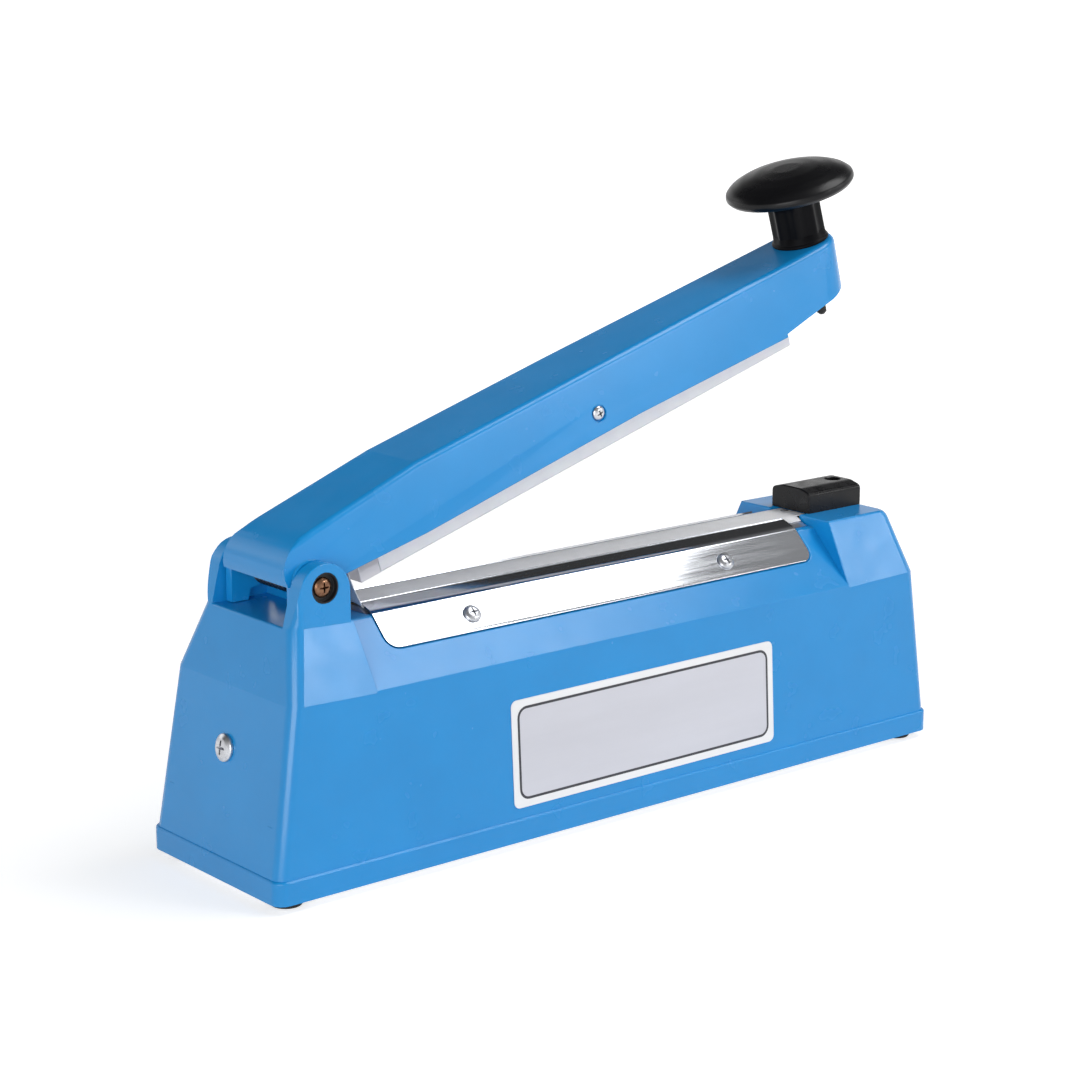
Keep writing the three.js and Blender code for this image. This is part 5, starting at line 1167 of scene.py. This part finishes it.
    def gland(self, ribs):
        place, foot = far_seat("cord_gland", 5)
        body = [
            (3.6, foot, 0), (6, foot, 0.2), (6, 0.05, 0), (9, 0.05, 0.2), (9, 2.4, 0.6), (6.4, 2.4, 0.3),
            (6.2, 5, 0.5), (3.9, 5, 0.4), (3.6, 4.4, 0.1), (3.6, foot, 0),
        ]
        fitting("gland_body", body, place, "base", "satin", "cord_gland")
        rib = extruded(bar(0.0088, 0.00925, 0.0005, 0.0003), 0.0003, 0.0019)
        self.ribs("gland_ribs", rib, ribs, place, "base")
        repaint("satin", "gland_nut")


class SEALER_OT_underside(bpy.types.Operator):
    """Base plate and rubber feet"""

    bl_idname = "sealer.underside"
    bl_label = "Underside"

    def execute(self, context):
        repaint("zinc", "base_plate")
        nodes = four("foot")
        profile = [
            (3.4, 1.9, 0), (3.4, 0, 0.3), (5.3, 0, 0.4), (5.9, 0.9, 0.6), (6.0, 2.95, 0.1), (1.8, 2.95, 0),
            (1.8, 1.9, 0), (3.4, 1.9, 0),
        ]
        foot = add_object("feet", turned(filleted(profile), 48), "rubber")
        gridded(foot, "rubber", nodes[0], nodes[3], 2)
        settle(smooth(foot), "base", "rubber", *nodes)
        return {"FINISHED"}


class SEALER_OT_inside(bpy.types.Operator):
    """Finishes of the transformer and the timer board"""

    bl_idname = "sealer.inside"
    bl_label = "Inside"

    def execute(self, context):
        for kind, node in (
            ("iron", "transformer_core"), ("copper", "transformer_winding"), ("zinc", "transformer_strap"),
            ("board", "timer_board"), ("relay", "relay"), ("satin", "capacitor"),
        ):
            repaint(kind, node)
        return {"FINISHED"}


class SEALER_OT_arm(bpy.types.Operator):
    """Arm with rounded edges, and the pivot screw of the press bar"""

    bl_idname = "sealer.arm"
    bl_label = "Arm"

    def execute(self, context):
        bm = welded("arm_shell")

        def height_over(centre):
            return (centre - PIN).dot(ARM_UP)

        def along(centre):
            return (centre - PIN).dot(ARM_FORWARD)

        def top_edge(centre, out, span):
            return height_over(centre) > 0.0125 and out.dot(ARM_UP) > 0.2 and along(centre) > 0 and span > 0.0008

        def lower_edge(centre, out, span):
            if top_edge(centre, out, span) or span < 0.004:
                return False
            return along(centre) > 0.012 and abs(centre.y) > 0.012 and height_over(centre) < 0.0105

        round_edges(bm, context.scene.sealer_sizes.arm_edge, top_edge, 4)
        round_edges(bm, LOWER_ARM_EDGE, lower_edge, 2)
        settle(smooth(add_object("arm", bm, "blue"), facets=0.006), "arm", "blue", "arm_shell")
        seat, centre = low("pivot_screw").y + 0.0016, middle("pivot_screw")
        screw = screw_mesh("pivot_screw_head", 2.75, 1.6, 1.5, (high("pivot_screw").y - seat) / MM, 0.6)
        place = standing((centre.x, seat, centre.z), (0, -1, 0), (1, 0, 0.5))
        stand(screw, place, "arm", "zinc", "pivot_screw", angle=30)
        repaint("zinc", "pivot_nut")
        repaint("satin", "switch_pin")
        return {"FINISHED"}


class SEALER_OT_knob(bpy.types.Operator):
    """Mushroom knob with a fluted stem, and the screw that holds it"""

    bl_idname = "sealer.knob"
    bl_label = "Press knob"

    def execute(self, context):
        sizes = context.scene.sealer_sizes
        depth, flutes = sizes.knob_flute_depth / MM, sizes.knob_flutes
        vertices = points_of("press_knob")
        axis = (ARM_UP - ARM_FORWARD * 0.0225).normalized()
        foot, top = (pick(v.dot(axis) for v in vertices) for pick in (min, max))
        tops = [v for v in vertices if v.dot(axis) > top - 0.0004]
        centre = sum(tops, Vector()) / len(tops)
        profile = filleted(
            [
                (2.3, 12.3, 0), (2.3, 0, 0.2), (11.3, 0, 0.3), (11.3, 0.8, 0.6), (10.6, 1.6, 0.6), (10.4, 3.8, 1.5),
                (10.4, 16.4, 4.5), (14.0, 19.6, 3), (24.2, 20.9, 1.2), (25.65, 22.5, 1.6), (25.3, 24.4, 1.6),
                (23.3, 26.35, 8), (18.9, 28.35, 14), (12.6, 29.72, 20), (5.6, 30.36, 20), (0, 30.4, 0),
            ],
            6,
        )

        def stem(radius, height, angle):
            """Flutes that fade out towards the foot and the cap."""
            if not 2.4 < height < 19.5 or radius < 9:
                return radius
            inward = min(1, (height - 2.4) / 1.6, (19.5 - height) / 2.2)
            wave = 0.5 - 0.5 * math.cos(flutes * angle)
            return radius - depth * 1.25 * inward * wave ** 0.75

        knob = add_object("knob", turned(profile, 128, stem), "knob")
        # The stem below the cap gets the duller copy of the black plastic, a painted shade for the shade that the
        # cap casts on it
        knob.data.materials.append(finish_of("stem"))
        for face in knob.data.polygons:
            face.material_index = 1 if face.center.z < 0.0192 else 0
        place = standing(centre + axis * (foot - centre.dot(axis)), axis, (0, 1, 0))
        stand(knob, place, "arm", "knob", "press_knob", angle=40)
        repaint("zinc", "knob_screw")
        return {"FINISHED"}


class SEALER_OT_press_bar(bpy.types.Operator):
    """Holder and silicone strip of the press bar"""

    bl_idname = "sealer.press_bar"
    bl_label = "Press bar"

    def execute(self, context):
        edge = context.scene.sealer_sizes.strip_edge

        def long_edge(centre, out, span):
            return span > 0.004

        for node, name, kind, size in (
            ("bar_holder", "bar_channel", "holder", edge * 0.8),
            ("silicone_strip", "seal_strip", "silicone", edge),
        ):
            bm = round_edges(welded(node), size, long_edge, 2)
            settle(smooth(add_object(name, bm, kind), 40), "press_bar", kind, node)
        return {"FINISHED"}


class SEALER_OT_stage(bpy.types.Operator):
    """Pale floor, soft studio light and the camera"""

    bl_idname = "sealer.stage"
    bl_label = "Stage"

    def execute(self, context):
        light = context.scene.sealer_light
        self.floor()
        self.sky(light)
        for name, direction, distance, size, power in (
            ("top_panel", (0.45, -0.27, 0.85), 1.5, (0.84, 0.72), light.top_panel),
            ("side_panel", (0.472, -0.803, 0.35), 1.48, (0.3, 0.27), light.side_panel),
            ("end_panel", (0.80, -0.60, 0.3775), 1.48, (0.22, 0.32), light.side_panel * 0.6),
            ("front_panel", (-0.78, -0.6, 0.17), 1.9, (1.3, 0.9), light.front_panel),
            ("back_panel", (-0.35, 0.86, 0.36), 1.9, (1.0, 0.8), light.back_panel),
        ):
            self.panel(name, Vector(direction), distance, size, power)
        self.camera()
        context.scene.view_settings.view_transform = "Standard"
        return {"FINISHED"}

    def panel(self, name, direction, distance, size, power):
        """A lamp of (width, height) that faces the light target from a direction."""
        lamp = bpy.data.lights.new(name, "AREA")
        lamp.shape = "RECTANGLE"
        lamp.size_y, lamp.size = size
        lamp.energy = power
        piece = linked(name, lamp)
        piece.matrix_world = standing(LIGHT_TARGET + direction.normalized() * distance, direction, (0, 0, 1))
        piece.visible_camera = False

    def floor(self):
        """A matt floor that glows for camera, glossy and transmission rays only, more so further out."""
        bm = bmesh.new()
        bmesh.ops.create_circle(bm, cap_ends=True, radius=14, segments=96)
        mesh = bpy.data.meshes.new("floor")
        bm.to_mesh(mesh)
        bm.free()
        piece = linked("floor", mesh)
        material = bpy.data.materials.new("pale floor")
        material.use_nodes = True
        tree = material.node_tree
        shader = tree.nodes["Principled BSDF"]
        for socket, value in (
            ("Roughness", 0.75), ("Specular IOR Level", 0.1), ("Base Color", (0.7, 0.705, 0.71, 1)),
            ("Emission Color", (1, 1, 1, 1)),
        ):
            shader.inputs[socket].default_value = value
        kinds = ("ShaderNodeTexCoord", "ShaderNodeVectorMath", "ShaderNodeLightPath")
        coordinates, reach, rays = (tree.nodes.new(kind) for kind in kinds)
        reach.operation = "LENGTH"
        glow = graded(tree, From_Min=0.25, From_Max=1.6, To_Min=0.6, To_Max=0.97)
        seen, through, level = (maths(tree, kind) for kind in ("MAXIMUM", "MAXIMUM", "MULTIPLY"))
        wire(
            tree, (coordinates, "Object", reach, 0), (reach, "Value", glow, "Value"),
            (rays, "Is Camera Ray", seen, 0), (rays, "Is Glossy Ray", seen, 1), (seen, "Value", through, 0),
            (rays, "Is Transmission Ray", through, 1), (glow, "Result", level, 0),
            (through, "Value", level, 1), (level, "Value", shader, "Emission Strength"),
        )
        mesh.materials.append(material)

    def sky(self, light):
        """A sky that grows darker from front to back, with a pale band over the floor."""
        world = bpy.data.worlds.new("studio")
        world.use_nodes = True
        tree = world.node_tree
        background = tree.nodes["Background"]
        background.inputs["Color"].default_value = (1, 1, 1, 1)
        coordinates, parts = (tree.nodes.new(kind) for kind in ("ShaderNodeTexCoord", "ShaderNodeSeparateXYZ"))
        level = graded(tree, From_Min=-0.35, From_Max=0.4, To_Min=light.sky_front, To_Max=light.sky_back)
        horizon = graded(tree, From_Min=0.3, From_Max=0.5, To_Min=light.sky_horizon)
        wire(
            tree, (coordinates, "Generated", parts, "Vector"), (parts, "Y", level, "Value"),
            (parts, "Z", horizon, "Value"), (level, "Result", horizon, "To Max"),
            (horizon, "Result", background, "Strength"),
        )
        bpy.context.scene.world = world

    def camera(self):
        """The photo's camera, from its angles, its target and its shifts across the view."""
        azimuth, elevation, roll = (math.radians(v) for v in (-39.31, 13.12, -0.17))
        target, distance, left, rise = Vector((0, 0, 0.063)), 1.0014, 0.00979, 0.03541
        flat = math.cos(elevation)
        back = Vector((math.sin(azimuth) * flat, -math.cos(azimuth) * flat, math.sin(elevation)))
        level = Vector((0, 0, 1)).cross(back).normalized()
        upright = back.cross(level)
        right = level * math.cos(roll) + upright * math.sin(roll)
        up = upright * math.cos(roll) - level * math.sin(roll)
        data = bpy.data.cameras.new("camera")
        data.lens, data.sensor_width = 87.76, 36
        camera = linked("camera", data)
        place = target + back * distance - right * left + up * rise
        camera.matrix_world = Matrix.Translation(place) @ Matrix((right, up, back)).transposed().to_4x4()
        bpy.context.scene.camera = camera


OPERATORS = (
    SEALER_OT_stage,
    SEALER_OT_housing,
    SEALER_OT_label,
    SEALER_OT_bed,
    SEALER_OT_side_plates,
    SEALER_OT_screws,
    SEALER_OT_cover,
    SEALER_OT_hinge,
    SEALER_OT_controls,
    SEALER_OT_underside,
    SEALER_OT_inside,
    SEALER_OT_arm,
    SEALER_OT_knob,
    SEALER_OT_press_bar,
)


class SEALER_PT_pieces(bpy.types.Panel):
    """Lists the pieces of the sealer in the sidebar"""

    bl_idname = "SEALER_PT_pieces"
    bl_label = "Sealer"
    bl_space_type = "VIEW_3D"
    bl_region_type = "UI"
    bl_category = "Sealer"

    def draw(self, context):
        for operator in OPERATORS:
            self.layout.operator(operator.bl_idname)
        for group in ("sealer_sizes", "sealer_colours", "sealer_light"):
            owner = getattr(context.scene, group)
            box = self.layout.box()
            for name in owner.bl_rna.properties.keys():
                if name not in {"rna_type", "name"}:
                    box.prop(owner, name)


CLASSES = (SealerSizes, SealerColours, SealerLight, *OPERATORS, SEALER_PT_pieces)


def register():
    for kind in CLASSES:
        bpy.utils.register_class(kind)
    bpy.types.Scene.sealer_sizes = PointerProperty(type=SealerSizes)
    bpy.types.Scene.sealer_colours = PointerProperty(type=SealerColours)
    bpy.types.Scene.sealer_light = PointerProperty(type=SealerLight)


def unregister():
    del bpy.types.Scene.sealer_light
    del bpy.types.Scene.sealer_colours
    del bpy.types.Scene.sealer_sizes
    for kind in reversed(CLASSES):
        bpy.utils.unregister_class(kind)


def main():
    register()
    for operator in OPERATORS:
        group, name = operator.bl_idname.split(".")
        getattr(getattr(bpy.ops, group), name)()
    bpy.context.view_layer.update()


if __name__ == "__main__":
    main()
